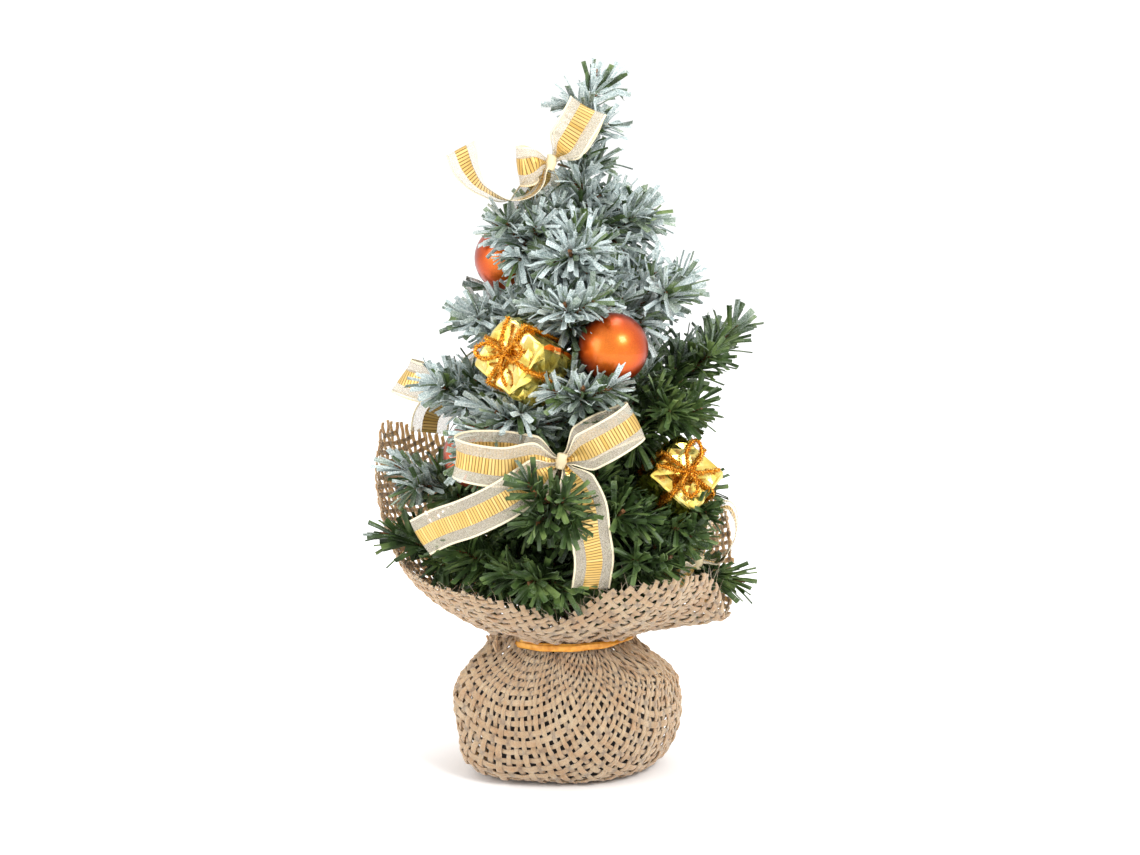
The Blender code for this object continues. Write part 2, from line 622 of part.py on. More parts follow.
# ---------------------------------------------------------------- ribbon bows
def ribbon_strip(points, width_at_start, width_at_end):
    """A flat strip of ribbon along a smooth curve, as a closed solid."""
    line = smooth_curve([Vector(place) * MM for place in points], 2)
    shape = bmesh.new()
    rows = []
    for i, here in enumerate(line):
        ahead = line[min(i + 1, len(line) - 1)] - line[max(i - 1, 0)]
        across = Vector(width_at_start).lerp(Vector(width_at_end), i / (len(line) - 1))
        across = (across - ahead.normalized() * across.dot(ahead.normalized())).normalized()
        pinch = min(1.0, 0.45 + 0.2 * min(i, len(line) - 1 - i if points[-1][0] ** 2 < 4 else i))
        face = across.cross(ahead).normalized() * (RIBBON_THICKNESS / 2)
        half = across * (RIBBON_WIDTH / 2 * pinch)
        corners = (half + face, half - face, -half - face, -half + face)
        rows.append([shape.verts.new(here + corner) for corner in corners])
    for before, after in zip(rows, rows[1:]):
        for i in range(4):
            j = (i + 1) % 4
            shape.faces.new((before[i], before[j], after[j], after[i]))
    shape.faces.new(rows[0])
    shape.faces.new(rows[-1])
    return shape


def make_bow(name, bend, line, share, way, bare, stretches, finish, wire):
    """A tied ribbon: its knot, two loops and two tails as one piece, and the wire that ties it on."""
    start = along(line, share)
    knot_place = start + Vector(way).normalized() * (BRUSH_RADIUS + bare + KNOT_RADIUS)
    shape = bmesh.new()
    bmesh.ops.create_icosphere(shape, subdivisions=2, radius=KNOT_RADIUS)
    knot = add_mesh(name + "_ribbon", shape, finish, bend, knot_place)
    for i, stretch in enumerate(stretches):
        strip = cutter(f"{name}_stretch{i}", ribbon_strip(*stretch), bend, knot_place)
        boolean(knot, strip, "UNION")
    towards = (start - knot_place).normalized()
    near = knot_place + towards * (KNOT_RADIUS + TIE_RADIUS + FIT_GAP)
    far = start - towards * (BRUSH_RADIUS + TIE_RADIUS + FIT_GAP)
    add_tube(name + "_tie", [near, far], [TIE_RADIUS] * 2, wire, parent=bend, sides_step=1)


# ---------------------------------------------------------------- the whole tree
def main():
    for old in list(bpy.data.objects):
        bpy.data.objects.remove(old)
    black_plastic = material("black_plastic", (0.02, 0.02, 0.022), 0.45)
    cement = material("cement", (0.36, 0.35, 0.33), 0.9)
    burlap = material("burlap", (0.56, 0.40, 0.26), 0.95)
    rubber = material("rubber", (0.75, 0.36, 0.05), 0.4)
    wire = material("ochre_wire", (0.36, 0.19, 0.06), 0.55, 0.6)
    needles = material("pvc_needles", (0.06, 0.13, 0.06), 0.5)
    orange = material("pearl_orange", (0.80, 0.16, 0.01), 0.3, 0.7)
    foam = material("white_foam", (0.85, 0.85, 0.83), 0.9)
    foil = material("gold_foil", (0.85, 0.68, 0.20), 0.18, 1.0)
    tinsel = material("gold_tinsel", (0.80, 0.40, 0.05), 0.3, 1.0)
    organza = material("organza", (0.80, 0.72, 0.52), 0.6)

    make_cup(black_plastic)
    make_cement(cement)
    make_burlap(burlap)
    make_band(rubber)
    make_trunk(wire)
    carriers = {"leader": make_leader(needles)}
    for branch in BRANCHES:
        carriers[branch[0]] = make_branch(*branch, needles)
    for name, carrier, *place in BALLS:
        make_ball(name, *carriers[carrier], *place, orange, wire)
    for name, carrier, *place in GIFTS:
        make_gift(name, *carriers[carrier], *place, (foam, foil, tinsel, wire))
    for name, carrier, *place in BOWS:
        make_bow(name, *carriers[carrier], *place, organza, wire)


main()
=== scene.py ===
"""Looks of a small artificial tabletop tree that stands in a burlap-wrapped cup of cement.

Lengths are in metres, +Z is up, -Y is the front and +X the right. The sections follow the order of
assembly: cup and cement, trunk, burlap, rubber band, branches, balls, wrapped boxes, bows, and the studio.
"""

import json
import math
import random

import bmesh
import bpy
import numpy as np
from mathutils import Matrix, Vector, noise

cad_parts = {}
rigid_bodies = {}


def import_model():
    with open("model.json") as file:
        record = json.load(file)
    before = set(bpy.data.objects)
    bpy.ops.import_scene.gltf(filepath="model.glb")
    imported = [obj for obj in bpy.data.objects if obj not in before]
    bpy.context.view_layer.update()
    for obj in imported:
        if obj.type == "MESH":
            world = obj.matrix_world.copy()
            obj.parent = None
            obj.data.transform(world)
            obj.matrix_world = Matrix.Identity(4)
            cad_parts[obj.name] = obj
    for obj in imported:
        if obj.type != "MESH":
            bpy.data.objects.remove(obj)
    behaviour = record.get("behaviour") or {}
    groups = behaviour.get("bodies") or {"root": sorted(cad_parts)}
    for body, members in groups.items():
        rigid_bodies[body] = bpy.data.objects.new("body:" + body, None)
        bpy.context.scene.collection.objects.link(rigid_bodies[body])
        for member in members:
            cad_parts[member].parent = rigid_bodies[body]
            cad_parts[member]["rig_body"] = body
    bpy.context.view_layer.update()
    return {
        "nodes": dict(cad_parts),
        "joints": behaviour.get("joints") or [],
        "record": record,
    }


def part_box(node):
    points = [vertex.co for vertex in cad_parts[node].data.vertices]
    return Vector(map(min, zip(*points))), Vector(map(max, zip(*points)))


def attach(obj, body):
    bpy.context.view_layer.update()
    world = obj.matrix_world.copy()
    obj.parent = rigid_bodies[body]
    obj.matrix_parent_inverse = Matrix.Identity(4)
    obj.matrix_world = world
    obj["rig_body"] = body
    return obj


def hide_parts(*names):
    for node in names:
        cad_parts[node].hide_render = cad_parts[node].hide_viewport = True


for old in list(bpy.data.objects):
    bpy.data.objects.remove(old)
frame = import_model()
MM = 0.001
UP = Vector((0, 0, 1))


# ---------------------------------------------------------------- cup and cement
# The weight is a nursery cup moulded in black polypropylene, and cement cast in it round the trunk's foot.
# Both are hidden by the cloth, and only show dark through its holes.
def linear(colour):
    """An sRGB hex colour as linear red, green, blue and alpha."""
    parts = [int(colour[i : i + 2], 16) / 255 for i in (1, 3, 5)]
    return (*[p / 12.92 if p <= 0.04045 else ((p + 0.055) / 1.055) ** 2.4 for p in parts], 1.0)


def new_finish(name, colour, roughness, more=None):
    """A material and its shader, with the plain values that the nodes then vary."""
    made = bpy.data.materials.new(name)
    made.use_nodes = True
    shader = made.node_tree.nodes["Principled BSDF"]
    for setting, value in {"Base Color": linear(colour), "Roughness": roughness, **(more or {})}.items():
        shader.inputs[setting].default_value = value
    return made, shader


def feed(node, links):
    for name, socket in links.items():
        node.id_data.links.new(socket, node.inputs[name])


def add_node(beside, kind, settings, links):
    """A node in the same material as another, with its settings, colour stops and links."""
    made = beside.id_data.nodes.new("ShaderNode" + kind)
    for name, value in settings.items():
        if name == "stops":
            elements = made.color_ramp.elements
            for stop, (place, colour) in zip(elements, (value[0], value[-1])):
                stop.position, stop.color = place, linear(colour)
            for place, colour in value[1:-1]:
                elements.new(place).color = linear(colour)
        elif isinstance(name, int) or name in made.inputs:
            made.inputs[name].default_value = value
        else:
            setattr(made, name, value)
    feed(made, links)
    return made.outputs


def ramp(shader, value, *stops):
    """The colour at a value, from stops that are (value, colour)."""
    return add_node(shader, "ValToRGB", {"stops": stops}, {"Fac": value})["Color"]


def object_texture(shader, kind, settings, output):
    """A texture in the object's own coordinates. Its scale is in grains to the metre."""
    places = add_node(shader, "TexCoord", {}, {})
    return add_node(shader, "Tex" + kind, settings, {"Vector": places["Object"]})[output]


def grain(shader, scale, detail):
    return object_texture(shader, "Noise", {"Scale": scale, "Detail": detail}, "Fac")


def relief(shader, height, strength, depth, **settings):
    """Bumps in the surface, up to this deep."""
    settings = {"Strength": strength, "Distance": depth, **settings}
    feed(shader, {"Normal": add_node(shader, "Bump", settings, {"Height": height})["Normal"]})


def repaint(node, finish):
    """A CAD node keeps its shape and takes this finish."""
    slots = frame["nodes"][node].material_slots
    if not slots:
        frame["nodes"][node].data.materials.append(finish)
    for one in slots:
        one.material = finish


# Moulded polypropylene: a dull sheen, with a fine moulded grain of half a millimetre.
moulded_plastic, shader = new_finish("moulded_black_plastic", "#17171a", 0.5)
relief(shader, grain(shader, 2000.0, 2.0), 0.2, 0.0002)
repaint("base_cup", moulded_plastic)

# Cast cement: chalky and rough, with sandy specks a millimetre across and pale patches.
cast_cement, shader = new_finish("cast_cement", "#8f8c85", 0.92)
sand = grain(shader, 900.0, 6.0)
feed(shader, {"Base Color": ramp(shader, sand, (0.3, "#6f6c66"), (0.55, "#918e87"), (0.75, "#aaa7a0"))})
relief(shader, sand, 0.6, 0.0004)
repaint("cement_weight", cast_cement)


# ---------------------------------------------------------------- trunk
# The trunk is a bundle of steel wires twisted together and wrapped in brown crepe paper, which shows in the
# gaps between the branches. Its foot stands in the cement.
STRANDS = 3
STRAND_RADIUS = 1.25 * MM
STRAND_OUT = 1.15 * MM  # from the trunk's middle to a strand's
STRAND_TURN = 10.8 * MM  # along the trunk in one turn
LEAN_FROM = 37.3 * MM  # the trunk leans from this height up


def curve_through(points, between):
    """Points on the smooth curve through the given ones, with this many steps from each to the next."""
    points = [Vector(place) for place in points]
    ends = [2 * points[0] - points[1], *points, 2 * points[-1] - points[-2]]
    made = []
    for i in range(1, len(ends) - 2):
        a, b, c, d = ends[i - 1 : i + 3]
        for k in range(between):
            t = k / between
            bend = (2 * a - 5 * b + 4 * c - d) * t**2
            made.append(0.5 * (2 * b + (c - a) * t + bend + (3 * b - a - 3 * c + d) * t**3))
    return made + [points[-1]]


def add_piece(name, data, finishes, body, stands_for=()):
    """An object from a mesh that is already in its place, riding on one CAD body."""
    for finish in finishes:
        data.materials.append(finish)
    made = bpy.data.objects.new(name, data)
    bpy.context.scene.collection.objects.link(made)
    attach(made, body)
    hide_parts(*stands_for)
    return made


def round_wires(lines, radius, steps=2, closed=False):
    """A mesh of round wires along these lines. Each line is a list of places, or of (place, thickness)."""
    drawn = bpy.data.curves.new("wires", "CURVE")
    drawn.dimensions = "3D"
    drawn.bevel_depth = radius
    drawn.bevel_resolution = steps
    drawn.use_fill_caps = True
    for line in lines:
        spline = drawn.splines.new("POLY")
        spline.points.add(len(line) - 1)
        for spot, place in zip(spline.points, line):
            place, spot.radius = place if isinstance(place, tuple) else (place, 1.0)
            spot.co = (*place, 1)
        spline.use_cyclic_u = closed
    holder = bpy.data.objects.new("wires", drawn)
    made = bpy.data.meshes.new_from_object(holder)
    bpy.data.objects.remove(holder)
    made.shade_smooth()
    made.materials.clear()
    return made


def around(ahead, turn, lead=None):
    """The direction square to a line, turned about it from its lead side."""
    side = (ahead.orthogonal() if lead is None else lead - ahead * lead.dot(ahead)).normalized()
    return side * math.cos(turn) + ahead.cross(side) * math.sin(turn)


def coiled(line, radius, turn, phase, lead=None):
    """A helix of this radius round a line, with one turn every so far."""
    made, gone = [], 0.0
    for i, here in enumerate(line):
        ahead = (line[min(i + 1, len(line) - 1)] - line[max(i - 1, 0)]).normalized()
        gone += (here - line[max(i - 1, 0)]).length
        made.append(here + around(ahead, math.tau * gone / turn + phase, lead) * radius)
    return made


def fine_line(line, step):
    """The same line with places this far apart."""
    made = [line[0]]
    for a, b in zip(line, line[1:]):
        parts = max(1, round((b - a).length / step))
        made += [a.lerp(b, k / parts) for k in range(1, parts + 1)]
    return made


# Crepe paper over wire: matt brown, with pale worn ridges and fine creases across it.
crepe_paper, shader = new_finish("brown_crepe_paper", "#4a3a26", 0.85)
creases = grain(shader, 1400.0, 4.0)
feed(shader, {"Base Color": ramp(shader, creases, (0.35, "#33291b"), (0.6, "#5a4930"), (0.8, "#84704d"))})
relief(shader, creases, 0.5, 0.0002)

low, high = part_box("trunk_wire")
top_x = frame["record"]["behaviour"]["joints"][0]["pos_m"][0]
core = []
for k in range(9):
    z = low.z + (high.z - low.z) * k / 8
    lean = max(0.0, z - LEAN_FROM) / (high.z - LEAN_FROM)
    core.append(Vector((top_x * lean**1.5, 0, z)))
core = fine_line(curve_through(core, 4), 0.8 * MM)
strands = []
for k in range(STRANDS):
    twist = coiled(core, STRAND_OUT, STRAND_TURN, k * math.tau / STRANDS, Vector((1, 0, 0)))
    strands.append([(place, 1.0 - 0.35 * i / len(twist)) for i, place in enumerate(twist)])
trunk_mesh = round_wires(strands, STRAND_RADIUS)
add_piece("trunk_wrapped", trunk_mesh, [crepe_paper], "base", ["trunk_wire"])
for node in frame["nodes"]:
    if node.endswith(("_pick", "_tie")):
        repaint(node, crepe_paper)


# ---------------------------------------------------------------- burlap
# A square of undyed jute burlap is folded up round the cup and gathered at the neck, and stands open above
# it as a collar. It is a plain weave of flat single yarns, and its cut edges fray. Each yarn is a strip.
PITCH = 2.65 * MM  # from one yarn to the next
YARN_WIDTH = 1.42 * MM
YARN_THICKNESS = 0.42 * MM
YARN_WAVE = 0.28 * MM  # over and under its neighbours
CLOTH_TURN = math.radians(60)  # how the square lies on the table
NECK_RADIUS = 17.4 * MM
COLLAR_FOOT = 40.4 * MM
NECK_TO_COLLAR = 3.6 * MM  # from the neck's middle up to the collar's foot
BAG_DRAWN = 1.08  # the bag's yarns lie this much further apart, pulled open round the cup
LOOSE_YARN_RADIUS = 0.42 * MM
# The bag's side, as (radius, height) in millimetres from under the cup to the neck.
BAG_SIDE = (
    (0, 0.7), (8, 0.7), (16, 0.7), (22, 0.9), (26.6, 3.4), (30.2, 9.6), (31.6, 16.2), (31.0, 22.4),
    (29.0, 27.6), (21.6, 33.4), (17.6, 36.8), (17.0, 39.4), (17.4, 42.0),
)
# The cut edge above the neck: azimuth, how far out from the neck and how far above it, in millimetres.
CUT_EDGE = (
    (3, 29, 10), (15, 32, 26), (28, 33, 38), (58, 27, 27), (92, 24, 25), (122, 31, 46), (140, 37, 54),
    (155, 43, 60), (174, 38, 41), (192, 31, 26), (212, 29, 25), (232, 26, 24), (252, 17, 18), (266, 11, 12),
    (286, 16, 21), (308, 24, 25), (332, 27, 24), (342, 28, 17), (350, 28, 7),
)
chance = random.Random(41)

bag = np.array([(p.x, p.y) for p in curve_through([(x, y, 0) for x, y in BAG_SIDE], 5)]) * MM
bag_along = np.concatenate([[0], np.cumsum(np.hypot(*np.diff(bag, axis=0).T))])
degrees = np.arange(0, 361)
edge_azimuth, *edges = np.array(CUT_EDGE, float).T
window = np.ones(9) / 9
smoothed = []
for edge in edges:
    once_round = np.interp(degrees[:-1], edge_azimuth, edge, period=360) * MM
    smoothed.append(np.convolve(np.tile(once_round, 3), window, "same")[360:721])
edge_out, edge_up = smoothed[0], smoothed[1] - NECK_TO_COLLAR
edge_long = np.zeros(361)
for k in range(12):
    t, u = k / 12, (k + 1) / 12
    edge_long += np.hypot(edge_out * ((1 - t) ** 1.6 - (1 - u) ** 1.6), edge_up * (u**1.3 - t**1.3))


def degrees_from(azimuth, middle):
    """How far an azimuth is round from another, from -180 to 180."""
    return (azimuth - middle + 180) % 360 - 180


def hump(place, middle, width):
    """1 at the middle, falling to 0 beyond its width."""
    return np.exp(-(((place - middle) / width) ** 2))


def near_azimuth(azimuth, middle, width):
    return hump(degrees_from(azimuth, middle), 0, width)


def bag_place(rho, azimuth):
    """The cloth below the neck: rho is the distance over the cloth from its middle, before it is drawn in."""
    rho = rho * BAG_DRAWN
    out = np.interp(rho, bag_along, bag[:, 0])
    height = np.interp(rho, bag_along, bag[:, 1])
    turn = np.radians(azimuth)
    gather = np.clip((height - 20 * MM) / (18 * MM), 0, 1) ** 1.3
    pleats = np.cos(13 * turn + 0.8) + 0.6 * np.cos(21 * turn + 2.0) + 0.5 * np.cos(8 * turn)
    belly = np.clip(height / (6 * MM), 0, 1)
    sway = np.cos(3 * turn + 1.1) + 0.7 * np.cos(5 * turn + 0.2)
    # Spare cloth stands out at the left in a sharp fold, steeper on its front side.
    off = degrees_from(azimuth, 208)
    high = np.clip((height - 12 * MM) / (20 * MM), 0, 1)
    fold = np.exp(-np.abs(off) / np.where(off < 0, 16.0, 13.0 - 6.0 * high))
    fold = fold * (0.25 + 0.75 * high) * belly * np.clip((41 * MM - height) / (3 * MM), 0, 1)
    flat_side = near_azimuth(azimuth, 184, 13) * belly
    near_floor = np.clip(1 - height / (16 * MM), 0, 1)
    heel = near_azimuth(azimuth, 218, 27) * np.clip(out / (22 * MM), 0, 1) ** 2 * near_floor
    pocket = near_azimuth(azimuth, 314, 14) * hump(height, 36.8 * MM, 2.2 * MM)
    ledge = near_azimuth(azimuth, 320, 25) * hump(height, 31.5 * MM, 4.5 * MM)
    pleat = np.exp(-np.abs(degrees_from(azimuth, 291)) / 4.0) * np.clip((height - 20 * MM) / (12 * MM), 0, 1)
    out = out + 0.75 * MM * gather * pleats + 0.5 * MM * belly * sway + 7.8 * MM * fold - 1.4 * MM * flat_side
    out = out + 5.2 * MM * heel - 1.8 * MM * pocket + 5.0 * MM * ledge + 1.6 * MM * pleat
    height = height + 3.5 * MM * fold * gather
    return np.stack([out * np.cos(turn), out * np.sin(turn), height], -1)


def collar_place(rho, azimuth):
    """The cloth above the neck: rho is the neck's radius and the distance over the cloth above it."""
    whole, out, up = (np.interp(azimuth % 360, degrees, edge) for edge in (edge_long, edge_out, edge_up))
    t = np.clip((rho - NECK_RADIUS) / whole, -0.3, 1.3)
    turn = np.radians(azimuth)
    fade = np.clip(1.15 - t, 0.25, 1)
    folds = 0.9 * np.cos(11 * turn + 0.4) + 0.6 * np.cos(17 * turn + 2.2) + 0.5 * np.cos(6 * turn + 1.0)
    tight = np.clip(1 - t / 0.35, 0, 1)
    folds = folds + tight * (1.5 * np.cos(23 * turn + 0.5) + 1.2 * np.cos(14 * turn + 1.9))
    lip = near_azimuth(azimuth, 222, 26) * np.clip((t - 0.72) / 0.28, 0, 1.2) ** 2
    radius = NECK_RADIUS + out * (1 - np.clip(1 - t, 0, 1.3) ** 1.6)
    radius = radius + 0.45 * MM * fade * folds + 1.6 * MM * lip
    height = COLLAR_FOOT + up * np.sign(t) * np.abs(t) ** 1.3
    height = height + 0.525 * MM * fade * folds - 2.6 * MM * lip
    return np.stack([radius * np.cos(turn), radius * np.sin(turn), height], -1)


def under_cloth(place):
    """True if a place lies outside the open collar, below its cloth."""
    azimuth = math.degrees(math.atan2(place[1], place[0])) % 360
    out, up = (float(np.interp(azimuth, degrees, edge)) for edge in (edge_out, edge_up))
    share = (math.hypot(place[0], place[1]) - NECK_RADIUS) / out
    if not 0 < share < 1.1:
        return False
    t = 1 - max(0.0, 1 - share) ** (1 / 1.6)
    return place[2] < COLLAR_FOOT + up * t**1.3 + 1.5 * MM


def lifted(surface, flat, lift):
    """Places on a surface from flat places on the cloth, pushed off it by lift."""
    rho = np.hypot(flat[:, 0], flat[:, 1])
    azimuth = np.degrees(np.arctan2(flat[:, 1], flat[:, 0]) + CLOTH_TURN)
    here = surface(rho, azimuth)
    rise = surface(rho + 0.05 * MM, azimuth) - here
    round_it = surface(rho, azimuth + 0.1) - here
    off = np.cross(rise, round_it)
    off /= np.maximum(np.linalg.norm(off, axis=1, keepdims=True), 1e-12)
    return here - off * lift[:, None]


def runs_inside(across, along_x, inner, limit):
    """Where a straight yarn lies on the cloth, as (start, stop) distances along it."""
    steps = np.arange(-150 * MM, 150 * MM, 0.25 * MM)
    x, y = (steps, np.full_like(steps, across)) if along_x else (np.full_like(steps, across), steps)
    rho = np.hypot(x, y)
    inside = (rho > inner) & (rho < limit(x, y, along_x))
    runs, start = [], None
    for place, kept in zip(steps, inside):
        if kept and start is None:
            start = place
        if not kept and start is not None:
            runs.append((start, place))
            start = None
    return [run for run in runs if run[1] - run[0] > 7 * MM]


def into_mesh(shape, name, sharp=None):
    """The mesh of a finished shape: flat faces, or smooth ones but for edges sharper than so many degrees."""
    made = bpy.data.meshes.new(name)
    shape.to_mesh(made)
    shape.free()
    if sharp:
        made.shade_smooth()
        made.set_sharp_from_angle(angle=math.radians(sharp))
    return made


def merge(shape, part):
    """Put a mesh into a shape, and drop it."""
    shape.from_mesh(part)
    bpy.data.meshes.remove(part)


def weave(surface, inner, limit, fill, along_x):
    """One set of parallel yarns over one part of the cloth. A larger fill leaves smaller holes."""
    shape = bmesh.new()
    coords = shape.loops.layers.uv.new("lay")
    count = int(150 * MM / PITCH)
    for k in range(-count, count + 1):
        across = (k + 0.5) * PITCH
        for start, stop in runs_inside(across, along_x, inner, limit):
            start, stop = start - chance.uniform(0, 0.9) * MM, stop + chance.uniform(0, 0.9) * MM
            parts = max(4, round((stop - start) / (PITCH / 2.2)))
            wander, drift = chance.uniform(0, 6), chance.uniform(-0.1, 0.1) * MM
            fat = fill * chance.uniform(0.88, 1.1)
            place = Matrix.Translation(((start + stop) / 2, across, 0))
            place @= Matrix.Diagonal((stop - start, YARN_WIDTH, 1, 1))
            made = bmesh.ops.create_grid(shape, x_segments=parts, y_segments=2, size=0.5, matrix=place)
            strip = made["verts"]
            for vert in strip:
                along, side = vert.co.x, vert.co.y - across
                far = along / MM
                swell = fat * (1 + 0.13 * math.sin(far * 0.83 + wander) + 0.08 * math.sin(far * 2.1))
                under = 1 if along_x else -1
                wave = YARN_WAVE * math.cos(math.pi * (along / PITCH - 0.5 + k)) * under
                crown = YARN_THICKNESS * 0.35 * (1 - abs(side) / (YARN_WIDTH / 2))
                sway = drift + 0.13 * MM * math.sin(far * 0.37 + 2 * wander)
                vert.co = (along, across + side * swell + sway, wave + crown - YARN_THICKNESS * 0.2)
            for face in {face for vert in strip for face in vert.link_faces}:
                for loop in face.loops:
                    loop[coords].uv = (loop.vert.co.x / MM, (loop.vert.co.y - across) / MM + 7 * k)
    if not along_x:
        for vert in shape.verts:
            vert.co = (vert.co.y, vert.co.x, vert.co.z)
    bmesh.ops.recalc_face_normals(shape, faces=shape.faces)
    bmesh.ops.solidify(shape, geom=shape.faces[:], thickness=YARN_THICKNESS)
    flat = np.array([vert.co for vert in shape.verts])
    for vert, place in zip(shape.verts, lifted(surface, flat[:, :2], flat[:, 2])):
        vert.co = place
    return into_mesh(shape, "yarns")


def bag_limit(x, y, along_x):
    return np.full_like(x, (bag_along[-1] - 0.5 * MM) / BAG_DRAWN)


def collar_limit(x, y, along_x):
    """The cut edge. Yarns that run along it stop short of it, which leaves the others' ends as a fringe."""
    azimuth = np.degrees(np.arctan2(y, x) + CLOTH_TURN) % 360
    rho = np.maximum(np.hypot(x, y), 1e-9)
    facing = np.abs(x if along_x else y) / rho
    stops_short = 3.2 * MM * np.clip(1 - 1.25 * facing, 0, 1)
    return NECK_RADIUS + np.interp(azimuth, degrees, edge_long) - stops_short


def multiplied(shader, colour, other, share):
    links = {"Color1": colour, "Color2": other}
    return add_node(shader, "MixRGB", {"blend_type": "MULTIPLY", "Fac": share}, links)["Color"]


cloth = bmesh.new()
for along_x in (True, False):
    merge(cloth, weave(bag_place, 0.0, bag_limit, 1.0, along_x))
for along_x in (True, False):
    merge(cloth, weave(collar_place, 15.0 * MM, collar_limit, 1.05, along_x))
bmesh.ops.recalc_face_normals(cloth, faces=cloth.faces)
lowest = min(vert.co.z for vert in cloth.verts)
bmesh.ops.translate(cloth, verts=cloth.verts, vec=(0, 0, 0.05 * MM - lowest))

# Jute yarn: a dry matt straw colour, streaked along its twisted fibres and slubbed every few millimetres.
jute, shader = new_finish("undyed_jute_yarn", "#bfa583", 0.93, {
    "Sheen Weight": 0.25, "Sheen Roughness": 0.5, "Specular IOR Level": 0.25,
    "Subsurface Weight": 0.5, "Subsurface Radius": (1.0, 0.75, 0.5), "Subsurface Scale": 0.003,
})
lay = add_node(shader, "UVMap", {"uv_map": "lay"}, {})
twisted = add_node(
    shader, "Mapping", {"Scale": (1.1, 5.5, 1), "Rotation": (0, 0, 0.5)}, {"Vector": lay["UV"]}
)["Vector"]
fibres = add_node(
    shader, "TexNoise", {"Scale": 1.6, "Detail": 5.0, "Roughness": 0.65}, {"Vector": twisted}
)["Fac"]
straw = ramp(shader, fibres, (0.28, "#8f745a"), (0.43, "#b0957a"), (0.6, "#c1aa8c"), (0.78, "#d3c2a6"))
slubs = ramp(shader, grain(shader, 210.0, 3.0), (0.3, "#dcc4b0"), (0.7, "#ffffff"))
feed(shader, {"Base Color": multiplied(shader, straw, slubs, 0.75)})
relief(shader, fibres, 0.7, 0.00025)
cloth_mesh = into_mesh(cloth, "burlap", 60)
burlap = add_piece("burlap_weave", cloth_mesh, [jute], "base", ["burlap_wrap"])

# A cut corner of the square sticks out over the neck, and fine fibres stand out of the whole cut edge.
loose_ends = []
for k in range(9):
    turn = math.radians(201 + 1.6 * k)
    foot = Vector((24.2 * math.cos(turn), 24.2 * math.sin(turn), 37.5 - 0.25 * k)) * MM
    tilt = Vector((math.cos(turn) * chance.uniform(-0.3, 0.5), math.sin(turn) * 0.3, 1.0))
    tip = foot + tilt * chance.uniform(3.2, 5.2) * MM + UP.cross(tilt) * 0.4 * MM
    loose_ends.append([(place, 1.0) for place in curve_through([foot, foot + tilt * 2.2 * MM, tip], 4)])
hairs = []
for k in range(260):
    azimuth = chance.uniform(0, 360)
    rho = NECK_RADIUS + np.interp(azimuth, degrees, edge_long) - chance.uniform(-0.4, 1.5) * MM
    root = Vector(collar_place(rho, azimuth))
    way = Vector((chance.gauss(0, 0.6), chance.gauss(0, 0.6), chance.gauss(0.7, 0.5))).normalized()
    curl = Vector((chance.gauss(0, 0.5), chance.gauss(0, 0.5), chance.gauss(0, 0.5)))
    long = chance.uniform(1.5, 4.0) * MM
    hairs.append([(root + way * long * t + curl * long * t * t, 0.17 - 0.1 * t) for t in (0, 0.35, 0.7, 1)])
fringe_mesh = round_wires(loose_ends + hairs, LOOSE_YARN_RADIUS, 1)
fringe = add_piece("burlap_fringe", fringe_mesh, [jute], "base")


# ---------------------------------------------------------------- rubber band
# A natural rubber band, cut from a tube, goes twice round the neck. Its two runs cross at the right front,
# and lie a millimetre lower at the front left than at the back right.
BAND_HEIGHT = 39.5 * MM
BAND_WIDTH = 1.8 * MM
BAND_THICKNESS = 0.75 * MM
BAND_RADIUS = 19.2 * MM
CROSSING = math.radians(322)
band = bmesh.new()
ring = bmesh.ops.create_circle(band, segments=12, radius=0.5)["verts"]
bmesh.ops.rotate(band, verts=ring, cent=(0, 0, 0), matrix=Matrix.Rotation(math.pi / 2, 3, "X"))
for vert in ring:
    vert.co.x = math.copysign(abs(2 * vert.co.x) ** 0.7, vert.co.x) * BAND_THICKNESS / 2
    vert.co.z = math.copysign(abs(2 * vert.co.z) ** 0.7, vert.co.z) * BAND_WIDTH / 2
bmesh.ops.translate(band, verts=ring, vec=(1, 0, 0))
bmesh.ops.spin(
    band, geom=band.verts[:] + band.edges[:], cent=(0, 0, 0), axis=UP, angle=math.tau, steps=240,
    use_merge=True,
)
bmesh.ops.remove_doubles(band, verts=band.verts, dist=1e-7)
for vert in band.verts:
    turn = 2 * math.atan2(vert.co.y, vert.co.x)
    aside, level = math.hypot(vert.co.x, vert.co.y) - 1, vert.co.z
    crossing = (turn - CROSSING) / 2
    apart = math.sin(crossing)
    roll = 1.3 * math.exp(-((math.sin(crossing) / 0.16) ** 2)) * (1 if math.cos(crossing) > 0 else -1)
    aside, level = (
        aside * math.cos(roll) - level * math.sin(roll), aside * math.sin(roll) + level * math.cos(roll),
    )
    radius = BAND_RADIUS + 0.35 * MM * math.cos(crossing) + aside + 0.25 * MM * math.cos(13 * turn + 0.8)
    height = BAND_HEIGHT + 0.42 * MM * apart + level + 0.3 * MM * math.sin(turn) + 0.5 * MM * math.cos(turn)
    vert.co = (radius * math.cos(turn), radius * math.sin(turn), height)
bmesh.ops.recalc_face_normals(band, faces=band.faces)

# Natural rubber: warm ochre, half matt with a soft glow inside, and faint dusty streaks.
natural_rubber, shader = new_finish("natural_rubber", "#dd9427", 0.42, {
    "Subsurface Weight": 0.15, "Subsurface Radius": (1.0, 0.5, 0.2), "Subsurface Scale": 0.001,
})
feed(shader, {"Base Color": ramp(shader, grain(shader, 500.0, 3.0), (0.35, "#c47a17"), (0.7, "#ecae45"))})
band_mesh = into_mesh(band, "band", 180)
add_piece("rubber_band_doubled", band_mesh, [natural_rubber], "base", ["rubber_band"])


